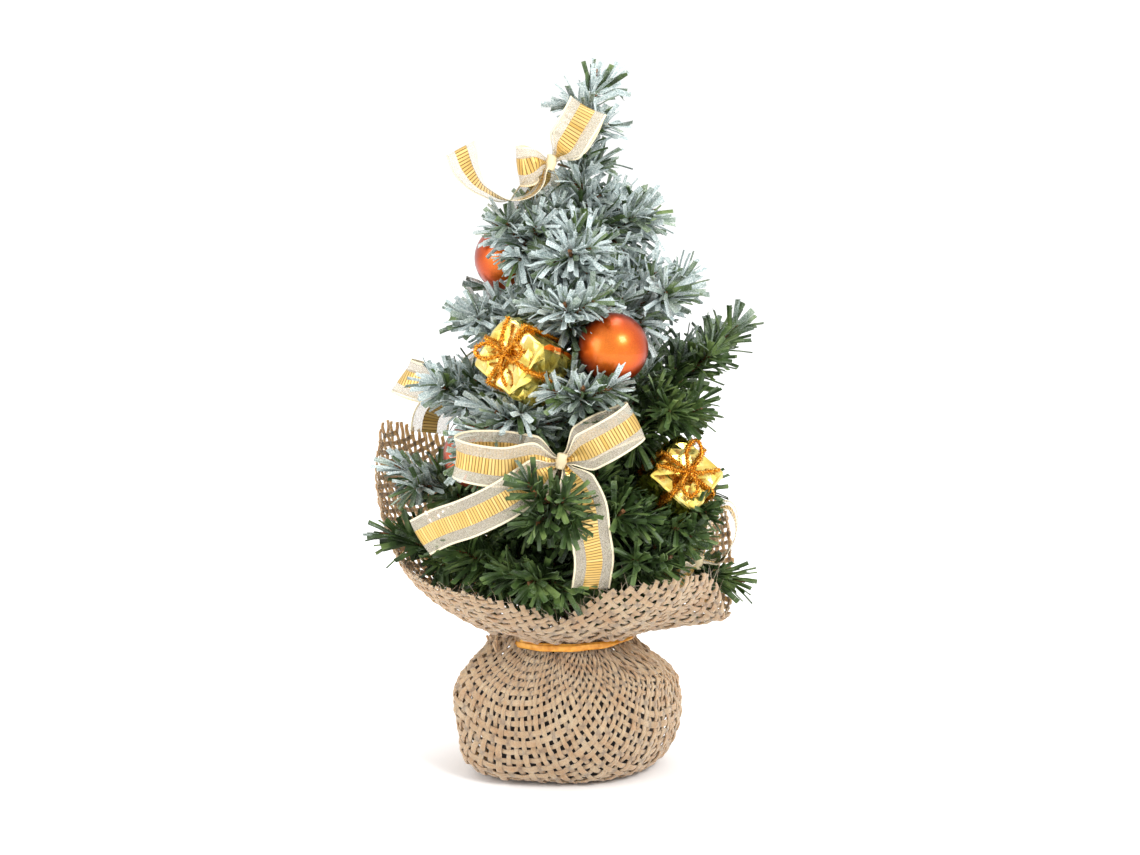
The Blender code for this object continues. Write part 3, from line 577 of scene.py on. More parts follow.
# ---------------------------------------------------------------- branches
# Each branch is a brush: two thin wires twisted together, with flat needles cut from PVC film caught between
# them. Its bare root is wound on the trunk, where it bends. The upper and left branches carry spray frost.
NEEDLE_LENGTH = 10.6 * MM
NEEDLE_WIDTH = 1.65 * MM
FILM_THICKNESS = 0.12 * MM
BARE_ROOT = 4.5 * MM
WIRE_RADIUS = 0.38 * MM
NEEDLE_SPACING = 0.3 * MM
NEEDLE_TURN = 2.39996  # radians from one needle to the next: the golden angle, so that no rows form
SPRIG_LENGTH = 12.5 * MM
LEADER_SPRIG_LENGTH = 7.5 * MM

leaf_shape = bmesh.new()
bmesh.ops.create_grid(leaf_shape, x_segments=3, y_segments=2, size=0.5)
bmesh.ops.translate(leaf_shape, verts=leaf_shape.verts, vec=(0.5, 0, 0))
for vert in leaf_shape.verts:
    bow = -0.13 * vert.co.x**2 * NEEDLE_LENGTH
    trough = 0.14 * abs(2 * vert.co.y) * NEEDLE_WIDTH
    vert.co = (vert.co.x * NEEDLE_LENGTH, vert.co.y * NEEDLE_WIDTH * (0.8 + 0.2 * vert.co.x), bow + trough)
bmesh.ops.recalc_face_normals(leaf_shape, faces=leaf_shape.faces)
bmesh.ops.solidify(leaf_shape, geom=leaf_shape.faces[:], thickness=FILM_THICKNESS)
bmesh.ops.recalc_face_normals(leaf_shape, faces=leaf_shape.faces)
leaf = into_mesh(leaf_shape, "leaf")


def leaf_spot(vert):
    return round(vert.co.x / MM, 1), round(vert.co.y / MM, 1)


leaf_top = {}
for vert in leaf.vertices:
    leaf_top[leaf_spot(vert)] = max(leaf_top.get(leaf_spot(vert), -1), vert.co.z)
leaf_upper = [vert.co.z > leaf_top[leaf_spot(vert)] - 0.4 * FILM_THICKNESS for vert in leaf.vertices]


def frost_at(place):
    """How much frost the spray left here: most at the top and on the left."""
    share = (place.z - 97 * MM - 0.56 * place.x) / (20 * MM)
    return min(1.0, max(0.0, share))


def turned_to(x, y, z, origin):
    """The matrix that turns the axes to these directions and moves the origin to this place."""
    axes = Matrix((x, y, z)).transposed().to_4x4()
    axes.translation = origin
    return axes


def stamp(shape, pattern, matrix):
    """Put a copy of a mesh into a shape."""
    copy = pattern.copy()
    copy.transform(matrix)
    merge(shape, copy)


def needled(brushes):
    """A mesh of needles. A brush is its line, how far along it the needles start, and their size."""
    shape, frost = bmesh.new(), []
    for line, bare, size in brushes:
        line = fine_line(line, 0.5 * MM)
        whole = sum((b - a).length for a, b in zip(line, line[1:]))
        count = max(8, round((whole - bare) / NEEDLE_SPACING))
        for k in range(count):
            share = bare / whole + (1 - bare / whole) * (k + chance.random()) / count
            spot = share * (len(line) - 1)
            i = min(int(spot), len(line) - 2)
            root = line[i].lerp(line[i + 1], spot - i)
            ahead = (line[min(i + 2, len(line) - 1)] - line[max(i - 1, 0)]).normalized()
            away = around(ahead, k * NEEDLE_TURN + chance.uniform(-0.35, 0.35))
            near_tip = max(0.0, (share - 0.8) / 0.2)
            open_angle = math.radians(chance.gauss(45, 11) - 16 * near_tip)
            point = ahead * math.cos(open_angle) + away * math.sin(open_angle)
            point = (point + UP * 0.06).normalized()
            face = UP * 0.55 + ahead * chance.uniform(-0.2, 0.7) + away * 0.3
            face += Vector((chance.gauss(0, 0.35), chance.gauss(0, 0.35), chance.gauss(0, 0.35)))
            face = (face - point * face.dot(point)).normalized()
            long = size * chance.uniform(0.78, 1.12) * (1 - 0.12 * near_tip)
            wide = chance.uniform(0.8, 1.12) * (0.55 + 0.45 * size)
            if under_cloth(root + point * long * NEEDLE_LENGTH):
                long *= 0.5
            if under_cloth(root + point * long * NEEDLE_LENGTH):
                continue
            stamp(shape, leaf, turned_to(point * long, face.cross(point) * wide, face, root))
            thick = chance.uniform(0.8, 1.2) if chance.random() < 0.58 else chance.uniform(0.05, 0.5)
            dusting = frost_at(root + point * 4 * MM) * thick + chance.uniform(-0.08, 0.1)
            for vert, upper in zip(leaf.vertices, leaf_upper):
                # Frost thickens towards each needle's tip; the darker root end near the wire is also painted
                # shade deep in the brush.
                tip_frost_and_painted_shade = 0.8 + 0.3 * vert.co.x / NEEDLE_LENGTH
                frost.append(max(0.0, min(1.0, dusting * tip_frost_and_painted_shade * (1 if upper else 0.35))))
    made = into_mesh(shape, "needles")
    made.attributes.new("frost", "FLOAT", "POINT").data.foreach_set("value", frost)
    return made


def node_points(node):
    return np.array([vert.co for vert in frame["nodes"][node].data.vertices])


def branch_line(joint):
    """The wire of one branch, read off its CAD node: root, middle and tip."""
    root = Vector(joint["pos_m"])
    name = joint["name"].removeprefix("bend_")
    if name == "leader":
        points, way = node_points("leader"), Vector((0, 0, 1))
    else:
        points, way = node_points("branch_" + name), Vector((-joint["axis"][1], joint["axis"][0], 0))
    gone = (points - np.array(root)) @ np.array(way)
    reach = gone.max()
    tip = Vector(points[gone > reach - 0.3 * MM].mean(0))
    half = points[np.abs(gone - 0.5 * reach) < 1.2 * MM].mean(0)
    middle = Vector(half) if np.isfinite(half).all() else (root + tip) / 2
    return fine_line(curve_through([root, middle, tip], 10), 1.0 * MM)


def rescaled(shader, value, settings):
    return add_node(shader, "MapRange", settings, {"Value": value})["Result"]


# PVC film: cut strips with a slight gloss. The green is dark, with some strips yellower. Spray frost lies
# over it, ice blue to white, thick on the upper faces and towards the needle tips, and broken into grains
# under half a millimetre across. The thinner frost at the root ends, near the wire, also paints shade deep in
# the brush.
pvc_film, shader = new_finish("frosted_pvc_film", "#2e4a33", 0.48, {"Specular IOR Level": 0.4})
green = ramp(shader, grain(shader, 160.0, 2.0), (0.3, "#1f2c16"), (0.5, "#3d5428"), (0.72, "#71864a"))
grains = grain(shader, 2600.0, 3.0)
ice = ramp(shader, grains, (0.3, "#8ea2a4"), (0.5, "#bfcccc"), (0.7, "#eef2ee"))
sprayed = add_node(shader, "Attribute", {"attribute_name": "frost"}, {})
broken = add_node(shader, "Math", {"operation": "MULTIPLY_ADD", 1: 0.55, 2: -0.275}, {0: grains})
cover = add_node(shader, "Math", {"operation": "ADD"}, {0: sprayed["Fac"], 1: broken["Value"]})
frosted = rescaled(shader, cover["Value"], {"From Min": 0.08, "From Max": 0.75, "To Max": 0.93})
mixed = add_node(shader, "MixRGB", {}, {"Fac": frosted, "Color1": green, "Color2": ice})
rough = rescaled(shader, frosted, {"To Min": 0.42, "To Max": 0.8})
feed(shader, {"Base Color": mixed["Color"], "Roughness": rough})
relief(shader, grains, 0.35, 0.00015)

# Bare wire: thin coppered steel, dulled brown, which shows at the roots and where it ends in the tips.
coppered_wire, shader = new_finish("dull_coppered_wire", "#6e4a2c", 0.5, {"Metallic": 0.5})
feed(shader, {"Base Color": ramp(shader, grain(shader, 700.0, 3.0), (0.35, "#4a3523"), (0.7, "#8f6038"))})

# Side sprigs: how far out along the branch, how far to its left and how far up each one turns.
SPRIGS = {
    "leader": ((0.1, 0.9, 0.3), (0.2, -0.9, 0.4), (0.32, 0.8, -0.5), (0.45, -0.3, -0.8), (0.55, 0.9, 0.5),
               (0.68, -0.8, 0.3), (0.8, 0.7, -0.3)),
    "crown": ((0.1, 0.3, 1.0), (0.16, -0.9, -0.8), (0.22, 1.0, -1.0), (0.3, 0.2, -1.2), (0.36, -0.9, 0.5),
              (0.42, 1.0, 0.4), (0.5, -0.8, -0.9), (0.6, 0.9, -0.3), (0.68, -0.7, 0.3)),
    "upper": ((0.12, 0.3, 1.1), (0.18, -0.9, -0.6), (0.24, 1.0, 0.7), (0.32, -0.9, 0.8), (0.4, 0.9, -0.6),
              (0.48, 0.2, 1.0), (0.55, -0.9, -0.2), (0.63, 0.9, 0.3), (0.7, -0.8, 0.3)),
    "middle": ((0.1, 0.3, 1.2), (0.18, -0.9, -0.5), (0.26, 1.0, 0.7), (0.34, -0.9, 0.8), (0.42, 0.9, -0.4),
               (0.5, 0.2, 1.0), (0.58, -0.9, -0.1), (0.66, 0.9, 0.3), (0.73, -0.8, 0.2)),
    "lower": ((0.15, 0.2, 0.9), (0.25, -1.0, -0.5), (0.35, 1.0, -0.4), (0.5, -0.9, 0.2), (0.6, 0.9, 0.3),
              (0.72, -0.8, -0.2)),
    "skirt": ((0.15, 0.2, -0.9), (0.25, -1.0, 0.0), (0.35, 1.0, -0.5), (0.48, 0.1, -0.9), (0.58, -0.9, -0.3),
              (0.68, 0.8, 0.2)),
}

# Three more on every branch but the leader, short of the trunk, where gaps would show.
INNER_SPRIGS = ((0.05, 0.5, 1.5), (0.12, -0.6, 1.5), (0.3, 0.0, 1.4))

# Sprigs that lie over an ornament: how far out along the branch they start, and their tip in millimetres.
OVER_ORNAMENTS = {
    "crown_left": ((0.35, (-12, -9, 140)), (0.25, (-5, -12, 143)), (0.55, (-14, -13, 148)),
                   (0.15, (-3, -10, 136))),
    "middle_front_left": ((0.7, (-23, -26, 90)), (0.8, (-29, -26, 94)), (0.55, (-17, -26, 88)),
                          (0.75, (-27, -25, 101))),
    "lower_right": ((0.3, (22, -25, 77)), (0.45, (30, -27, 75)), (0.55, (38, -24, 79)),
                    (0.25, (15, -24, 84))),
    "skirt_right": ((0.6, (34, -25, 73)), (0.4, (24, -26, 70))),
    "lower_front": ((0.85, (-11, -47, 92)), (0.85, (-1, -48, 88)), (0.8, (-9, -47, 81)), (0.7, (1, -43, 80))),
}

for joint in frame["joints"]:
    name, body = joint["name"].removeprefix("bend_"), joint["child"]
    is_leader = name == "leader"
    line = branch_line(joint)
    whole = (line[-1] - line[0]).length
    ahead = (line[-1] - line[-4]).normalized()
    left, rise = (Vector((1, 0, 0)), Vector((0, -1, 0))) if is_leader else (ahead.cross(UP).normalized(), UP)
    brushes = [(line[:-4], 1 * MM, 0.82) if is_leader else (line[:-4], BARE_ROOT, 1.0)]
    twigs = []
    for share, hand, lift in SPRIGS[name.split("_")[0]] + (() if is_leader else INNER_SPRIGS):
        start = line[int(share * (len(line) - 1))]
        aside = left * hand
        if is_leader:
            long = LEADER_SPRIG_LENGTH
        else:
            long = min(0.34 * whole, SPRIG_LENGTH) * chance.uniform(0.85, 1.1)
        tip = start + ahead * long * 0.55 + aside * long * 0.8 + rise * long * lift * 0.75
        bend = start.lerp(tip, 0.5) + ahead * long * 0.1
        twig = curve_through([start, bend, tip], 5)
        twigs.append(twig)
        brushes.append((twig, 1.5 * MM, 0.85))
    for share, tip in OVER_ORNAMENTS.get(name, ()):
        start, tip = line[int(share * (len(line) - 1))], Vector(tip) * MM
        twig = curve_through([start, start.lerp(tip, 0.5) + Vector((0, -1.5 * MM, -1 * MM)), tip], 5)
        twigs.append(twig)
        brushes.append((twig, 0.45 * (tip - start).length, 0.85))
    node = "leader" if is_leader else "branch_" + name
    add_piece("needles_" + name, needled(brushes), [pvc_film], body, [node])
    wires = []
    for end in [line, *[twig + [twig[-1] * 1.15 - twig[-2] * 0.15] for twig in twigs]]:
        wires += [coiled(fine_line(end, 0.6 * MM), 0.32 * MM, 2.6 * MM, phase) for phase in (0, math.pi)]
    add_piece("wire_" + name, round_wires(wires, WIRE_RADIUS, 1), [coppered_wire], body)


# ---------------------------------------------------------------- balls
# Blown polystyrene balls, vacuum metallised and lacquered a pearl orange. Two half shells meet in a fine
# seam, and the moulded neck is wired to a branch.
BALL_RADIUS = 9.7 * MM
BALL_NECK = 1.6 * MM
SEAM_HALF_WIDTH = 0.16 * MM
SEAM_HEIGHT = 0.06 * MM


def wire_ends(node, towards):
    """The two ends of a straight CAD wire: the one nearer to a place, and the other."""
    points = node_points(node)
    middle = points.mean(0)
    way = np.linalg.svd(points - middle, full_matrices=False)[2][0]
    gone = (points - middle) @ way
    ends = [Vector(points[pick].mean(0)) for pick in (gone < gone.min() * 0.8, gone > gone.max() * 0.8)]
    return sorted(ends, key=lambda end: (end - Vector(towards)).length)


def ball_axis(node):
    """The middle of a ball's CAD node, fitted to its round part, and the way its neck points."""
    points = node_points(node)
    kept = points
    for _ in range(4):
        rows = np.column_stack([2 * kept, np.ones(len(kept))])
        centre = np.linalg.lstsq(rows, (kept**2).sum(1), rcond=None)[0][:3]
        kept = points[np.abs(np.linalg.norm(points - centre, axis=1) - BALL_RADIUS) < 0.25 * MM]
    neck = points[np.linalg.norm(points - centre, axis=1) > BALL_RADIUS + 0.7 * BALL_NECK]
    return Vector(centre), Vector(neck.mean(0) - centre).normalized()


def turned_profile(profile, steps):
    """A body of revolution about Z from (radius, height) places that start and end on the axis."""
    shape = bmesh.new()
    places = [shape.verts.new((radius, 0, height)) for radius, height in profile]
    edges = [shape.edges.new(pair) for pair in zip(places, places[1:])]
    bmesh.ops.spin(
        shape, geom=places + edges, cent=(0, 0, 0), axis=UP, angle=math.tau, steps=steps, use_merge=True
    )
    bmesh.ops.remove_doubles(shape, verts=shape.verts, dist=1e-7)
    bmesh.ops.recalc_face_normals(shape, faces=shape.faces)
    return shape


# Pearl lacquer: deep orange over metallised plastic. Its colour carries painted shade, darker and redder
# towards the rim as the surface turns from the camera. Fine flakes make it satin, the clear coat gives a
# second, sharper highlight, and faint mottling shows where the lacquer ran thin.
pearl_lacquer, shader = new_finish("pearl_orange_lacquer", "#e2560f", 0.36, {
    "Metallic": 0.72, "Coat Weight": 0.35, "Coat Roughness": 0.16,
})
flakes = grain(shader, 3600.0, 2.0)
# Painted shade: the surface's facing to the camera darkens and reddens the colour towards the rim, over a
# faint mottle.
facing_camera = add_node(shader, "LayerWeight", {"Blend": 0.45}, {})
mottle = grain(shader, 170.0, 4.0)
mottle_and_painted_rim_shade = add_node(shader, "Math", {"operation": "MULTIPLY_ADD", 1: 0.35}, {0: mottle, 2: facing_camera["Facing"]})
orange = ramp(shader, mottle_and_painted_rim_shade["Value"], (0.15, "#dc7413"), (0.5, "#cf540a"), (0.95, "#982604"))
spark = ramp(shader, flakes, (0.35, "#d8c8c0"), (0.7, "#ffffff"))
rough = rescaled(shader, flakes, {"To Min": 0.28, "To Max": 0.44})
feed(shader, {"Base Color": multiplied(shader, orange, spark, 0.6), "Roughness": rough})
relief(shader, flakes, 0.12, 0.0001)

top_angle = math.asin(2.2 * MM / BALL_RADIUS)
profile = [(0.0, -BALL_RADIUS)]
for k in range(1, 41):
    angle = -math.pi / 2 + (math.pi - top_angle) * k / 40
    profile.append((BALL_RADIUS * math.cos(angle), BALL_RADIUS * math.sin(angle)))
lip = BALL_RADIUS + BALL_NECK
profile += [
    (2.1 * MM, BALL_RADIUS + 0.1 * MM), (2.1 * MM, lip - 0.45 * MM), (2.4 * MM, lip - 0.3 * MM),
    (2.4 * MM, lip - 0.1 * MM), (2.2 * MM, lip), (0.8 * MM, lip), (0.7 * MM, lip - 0.6 * MM),
    (0.0, lip - 0.6 * MM),
]
for node in [n for n in frame["nodes"] if n.startswith("ball_") and not n.endswith("_pick")]:
    centre, towards = ball_axis(node)
    orb = turned_profile(profile, 72)
    for vert in orb.verts:
        if vert.co.z < BALL_RADIUS * 0.96 and abs(vert.co.y) < SEAM_HALF_WIDTH:
            vert.co *= 1 + SEAM_HEIGHT / BALL_RADIUS
    place = Matrix.Translation(centre) @ towards.to_track_quat("Z", "Y").to_matrix().to_4x4()
    bmesh.ops.transform(orb, verts=orb.verts, matrix=place)
    body = frame["nodes"][node]["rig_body"]
    add_piece(node + "_shell", into_mesh(orb, node, 35), [pearl_lacquer], body, [node])


# ---------------------------------------------------------------- wrapped boxes
# Foam blocks wrapped in crinkled gold film like small presents, and tied both ways with tinsel cord in a bow.
# The film's ends are folded into flaps. Each box is stuck on a paper-covered wire.
GIFT_SIDE = 17.2 * MM
TINSEL_RADIUS = 0.65 * MM
CORNER_ROUND = 1.6 * MM  # where the tinsel leaves a side of the box
GIFT_FACES = {  # the way the tied face looks, and the way its upper edge points
    "gift_front": ((-0.54, -0.76, 0.35), (0.55, 0, 0.84)),
    "gift_right": ((0.35, -0.80, 0.48), (-0.75, 0.0, 0.66)),
}

# Gold film: aluminised and tinted, so it mirrors the light like metal. Each crumpled facet tilts its own way.
gold_film, shader = new_finish("aluminised_gold_film", "#ecd070", 0.2, {"Metallic": 1.0})
sweep = grain(shader, 260.0, 3.0)
feed(shader, {"Base Color": ramp(shader, sweep, (0.3, "#d9b548"), (0.5, "#ecd26e"), (0.75, "#f8eaa0"))})
relief(shader, object_texture(shader, "Voronoi", {"Scale": 330.0}, "Distance"), 0.3, 0.0005)

# Tinsel: orange-gold film slit to hairs and twisted. Its colour carries a painted glint on every hair and
# painted shade in the hollows between.
gold_tinsel, shader = new_finish("orange_gold_tinsel", "#d98a1e", 0.28, {"Metallic": 1.0})
hairs_painted_glint_and_shade = grain(shader, 2400.0, 2.0)
# Painted glint and shade: the ramp goes dark brown in the hollows and pale yellow on the hairs.
feed(shader, {"Base Color": ramp(shader, hairs_painted_glint_and_shade, (0.32, "#7d3f06"), (0.5, "#d98a1e"), (0.7, "#ffd268"))})
relief(shader, hairs_painted_glint_and_shade, 0.8, 0.0003)

# Expanded polystyrene: matt white, in beads a millimetre and a half across.
white_foam, shader = new_finish("expanded_polystyrene", "#f2f1ec", 0.9)
beads = object_texture(shader, "Voronoi", {"Scale": 650.0}, "Distance")
feed(shader, {"Base Color": ramp(shader, beads, (0.0, "#fbfaf6"), (0.8, "#d9d8d2"))})
relief(shader, beads, 0.5, 0.0003)


def crumpled_box(seed):
    """A box of crinkled film about the origin, with the end flaps folded over two opposite sides."""
    shape = bmesh.new()
    bmesh.ops.create_cube(shape, size=GIFT_SIDE)
    bmesh.ops.bevel(
        shape, geom=shape.edges[:], offset=0.9 * MM, offset_type="OFFSET", segments=2, profile=0.5,
        affect="EDGES", material=-1,
    )
    long = [edge for edge in shape.edges if edge.calc_length() > 5 * MM]
    bmesh.ops.subdivide_edges(shape, edges=long, cuts=5, use_grid_fill=True)
    bmesh.ops.triangulate(shape, faces=shape.faces[:], quad_method="SHORT_EDGE")
    half = GIFT_SIDE / 2
    for vert in shape.verts:
        here = vert.co.copy()
        spot = here / (5.6 * MM) + Vector((seed, 0, 0))
        ridge = abs(noise.noise(spot)) - 0.2 + 0.5 * (abs(noise.noise(spot * 2.3)) - 0.2)
        shift = noise.noise_vector(here / (2.3 * MM) + Vector((0, seed, 0)))
        pinch = 1 - 0.055 * (abs(here.x) / half) * (abs(here.z) / half) * (abs(here.y) / half)
        facing = max(range(3), key=lambda k: abs(here[k]))
        u, v = (here[k] for k in range(3) if k != facing)
        middle = min(1.0, max(abs(u), abs(v)) / half)
        spokes = (abs(math.sin(4.5 * math.atan2(v, u) + seed)) - 0.5) * middle * (1 - middle) * 3 * MM
        fold = Vector((0, 0, 0))
        fold[facing] = math.copysign(spokes, here[facing] * spokes)
        flap = 0.0
        if abs(here.y) > half * 0.97:
            flap = 0.55 * MM if abs(here.z) < abs(here.x) * 0.92 else 0.0
        tied = math.exp(-((here.x / (1.3 * MM)) ** 2)) + math.exp(-((here.y / (1.3 * MM)) ** 2))
        off = here.normalized() * (0.9 * MM * ridge - 0.35 * MM * min(1.0, tied))
        vert.co = here * pinch + off + fold + shift * 0.3 * MM + Vector((0, math.copysign(flap, here.y), 0))
    bmesh.ops.recalc_face_normals(shape, faces=shape.faces)
    return into_mesh(shape, "film")


fin_shape = bmesh.new()
bmesh.ops.create_grid(fin_shape, x_segments=1, y_segments=1, size=0.5)
bmesh.ops.scale(fin_shape, verts=fin_shape.verts, vec=(0.62 * MM, 0.16 * MM, 1))
bmesh.ops.translate(fin_shape, verts=fin_shape.verts, vec=(0.31 * MM, 0, 0))
bmesh.ops.solidify(fin_shape, geom=fin_shape.faces[:], thickness=0.03 * MM)
fin = into_mesh(fin_shape, "fin")


def tinsel(paths):
    """Two strands twisted along each path, with slit hairs of film standing out of them."""
    shape = bmesh.new()
    for path in paths:
        line = fine_line(path, 0.22 * MM)
        for phase in (0, math.pi):
            merge(shape, round_wires([coiled(line, 0.3 * MM, 1.6 * MM, phase)], 0.32 * MM, 1))
        for i, here in enumerate(line[:-1]):
            ahead = (line[i + 1] - here).normalized()
            for _ in range(2):
                away = around(ahead, chance.uniform(0, math.tau))
                point = (away + ahead * chance.uniform(-0.5, 0.5)).normalized()
                face = point.cross(ahead + away * 0.2).normalized()
                stamp(shape, fin, turned_to(point, face.cross(point), face, here + away * 0.42 * MM))
    return into_mesh(shape, "tinsel", 180)


def round_corners(corners, steps):
    """A closed square path with its corners drawn in."""
    made = []
    count = len(corners)
    for i, here in enumerate(corners):
        before, after = corners[i - 1], corners[(i + 1) % count]
        a, b = (here + (beside - here).normalized() * CORNER_ROUND for beside in (before, after))
        for k in range(steps + 1):
            t = k / steps
            made.append(a.lerp(here, t).lerp(here.lerp(b, t), t))
    return made + [made[0]]


for seed, (name, (facing, upper)) in enumerate(GIFT_FACES.items()):
    low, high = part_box(name + "_foil")
    centre = (low + high) / 2
    z = Vector(facing).normalized()
    y = Vector(upper)
    y = (y - z * y.dot(z)).normalized()
    axes = turned_to(y.cross(z), y, z, centre)
    body = frame["nodes"][name + "_foil"]["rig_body"]
    film = crumpled_box(3.7 * seed + 1.3)
    film.transform(axes)
    add_piece(name + "_wrap", film, [gold_film], body, [name + "_foil"])
    reach = GIFT_SIDE / 2 + TINSEL_RADIUS + 0.1 * MM
    square = [Vector((a * reach, 0, b * reach)) for a, b in ((-1, -1), (1, -1), (1, 1), (-1, 1))]
    across = [Vector((0, place.x, place.z)) for place in square]
    top = Vector((0, 0, reach + 0.4 * MM))
    paths = [round_corners(square, 4), round_corners(across, 4)]
    for azimuth, tilt, long, wide in ((28, 16, 9.0, 4.6), (208, 8, 8.6, 4.4)):
        turn = Matrix.Rotation(math.radians(azimuth), 3, "Z") @ Matrix.Rotation(-math.radians(tilt), 3, "Y")
        loop = [(0, 0, 0), (2.5, 1.5, 0.9), (6.0, 0.5 * wide, 1.4), (long, 0.1, 1.1), (6.0, -0.5 * wide, 0.8),
                (2.5, -1.4, 0.3), (0, 0, 0)]
        paths.append([top + turn @ (place * MM) for place in curve_through(loop, 5)])
    for end in (((0, 0, 0), (-2.5, 2.5, 1.0), (-4.0, 6.0, 1.2), (-5.2, 8.6, 0.3)),
                ((0, 0, 0), (2.0, -3.0, 1.0), (4.8, -5.4, 0.9), (6.6, -6.6, 0.0)),
                ((-1, -0.8, 0.2), (0.6, -0.9, 0.9), (0.9, 0.9, 0.5), (-0.9, 0.7, 0.2))):
        paths.append([top + place * MM for place in curve_through(end, 5)])
    cord = tinsel(paths)
    cord.transform(axes)
    add_piece(name + "_tinsel", cord, [gold_tinsel], body, [name + "_cord"])
    repaint(name + "_foam", white_foam)


# ---------------------------------------------------------------- bows
# Organza ribbon, eleven millimetres wide: a sheer cream ground with glitter in it, a band of ribbed gold
# lurex down the middle, and corded cream edges. Each bow is one length, tied and wired to its branch.
RIBBON_WIDTH = 11.2 * MM
RIBBON_THICKNESS = 0.12 * MM
# Each stretch from its knot, in millimetres, and the way its width points at its start and its end.
BOWS = {
    "bow_front": (
        (((-1, 0, 0), (-8, -2, 0), (-16, -4, -1), (-25, -3, 0), (-29, 1, 1), (-25, 5, 2), (-16, 5, 2),
          (-7, 3, 1), (-1, 1, 0)), (0, 0, 1), (0.1, 0, 1)),
        (((1, 0, 0), (7, -2, 3), (14, -3, 7), (19, -1, 10), (20, 2, 11), (16, 5, 9), (9, 4, 6), (1, 1, 1)),
         (-0.35, 0, 0.94), (-0.5, 0, 0.87)),
        (((-1, 0, -1), (-8, -4, -5), (-16, -6, -10), (-25, -3, -15), (-33, 3, -19), (-39, 8, -23)),
         (-0.25, 0, 0.97), (-0.4, 0, 0.92)),
        (((1, 0, -1), (4, -3, -6), (7, -4, -12), (8, -2, -20), (9, 1, -28), (8, 5, -37)),
         (0.9, 0, 0.44), (0.97, 0.25, 0)),
    ),
    "bow_top": (
        (((1, 0, 1), (4, -4, 5), (7, -5, 10), (10, -3, 15), (10, 1, 15), (8, 2, 10), (4, 2, 4), (1, 1, 1)),
         (0.8, -0.3, -0.5), (0.9, -0.1, -0.4)),
        (((-1, 0, 0), (-4, -3, 0), (-7, -3, -1), (-9, -1, -1), (-8, 2, -1), (-4, 3, 0), (-1, 1, 0)),
         (-0.1, 0, 1), (-0.1, 0, 1)),
        (((-1, 0, -1), (-5, -4, -8), (-12, -5, -10), (-19, -4, -7), (-23, -3, -2), (-25, -1, 4)),
         (0.2, -0.9, 0.3), (0.75, -0.6, -0.25)),
        (((0, 0, -1), (-2, 3, -5), (-5, 7, -9), (-8, 11, -14)), (1, 0.2, 0), (0.9, 0.4, 0)),
    ),
    "bow_left": (
        (((-1, 0, 0), (-5, -1, 1), (-11, 0, 2), (-15, 3, 3), (-15, 6, 3), (-9, 7, 1), (-4, 4, 0), (-1, 1, 0)),
         (0.5, 0, 0.87), (0.62, 0, 0.78)),
        (((1, 1, 0), (4, 3, 3), (7, 6, 5), (8, 9, 4), (6, 9, 2), (3, 6, 1), (1, 2, 0)),
         (-0.3, 0, 0.95), (-0.3, 0.2, 0.93)),
        (((-1, 1, -1), (-4, 4, -5), (-7, 6, -9), (-8, 7, -14)), (0.9, 0, -0.44), (0.97, 0.2, 0)),
        (((0, 1, -1), (3, 5, -4), (7, 10, -8), (10, 13, -13)), (0.9, 0.2, 0.4), (0.9, 0.2, 0.3)),
    ),
    "bow_right": (
        (((1, 0, 0), (6, 2, 0), (10, 3, 5), (11, 4, 11), (9, 4, 15), (5, 3, 14), (3, 2, 8), (1, 1, 1)),
         (0.1, 0.98, 0), (0.25, 0.95, 0)),
        (((-1, 0, 0), (-5, -3, -2), (-10, -5, -3), (-12, -5, -3), (-11, -2, -3), (-6, 0, -2), (-1, 1, 0)),
         (0, 0.1, 1), (0, 0.1, 1)),
        (((0, 1, 1), (1, 5, 3), (2, 9, 4), (3, 13, 4)), (0.5, -0.3, 0.8), (0.5, -0.3, 0.8)),
        (((-1, -1, -1), (-3, -5, -3), (-6, -9, -4)), (0.2, 0, 1), (0.3, 0, 0.95)),
    ),
}
# Shares of the width, from the middle of the lurex over the sheer ground to the corded edge, and both ways.
HALF_COLUMNS = (0.1, 0.2, 0.265, 0.33, 0.39, 0.45, 0.475, 0.5)
COLUMNS = (*[-share for share in reversed(HALF_COLUMNS)], 0, *HALF_COLUMNS)
KNOT_OUT = 2.8 * MM  # from the tie's near end to the knot's middle
KNOT_SIZE = Vector((1.5, 1.5, 2.3)) * MM
# The knot's barrel along its length, as (level, width) shares.
BARREL = ((-0.95, 0.75), (-0.8, 0.98), (-0.4, 1.0), (0, 1.04), (0.4, 1.0), (0.8, 0.98), (0.95, 0.75))


def column_finish(across):
    """0 is the sheer ground, 1 the lurex and 2 the corded edge."""
    return 2 if abs(across) > 0.45 else 1 if abs(across) < 0.2 else 0


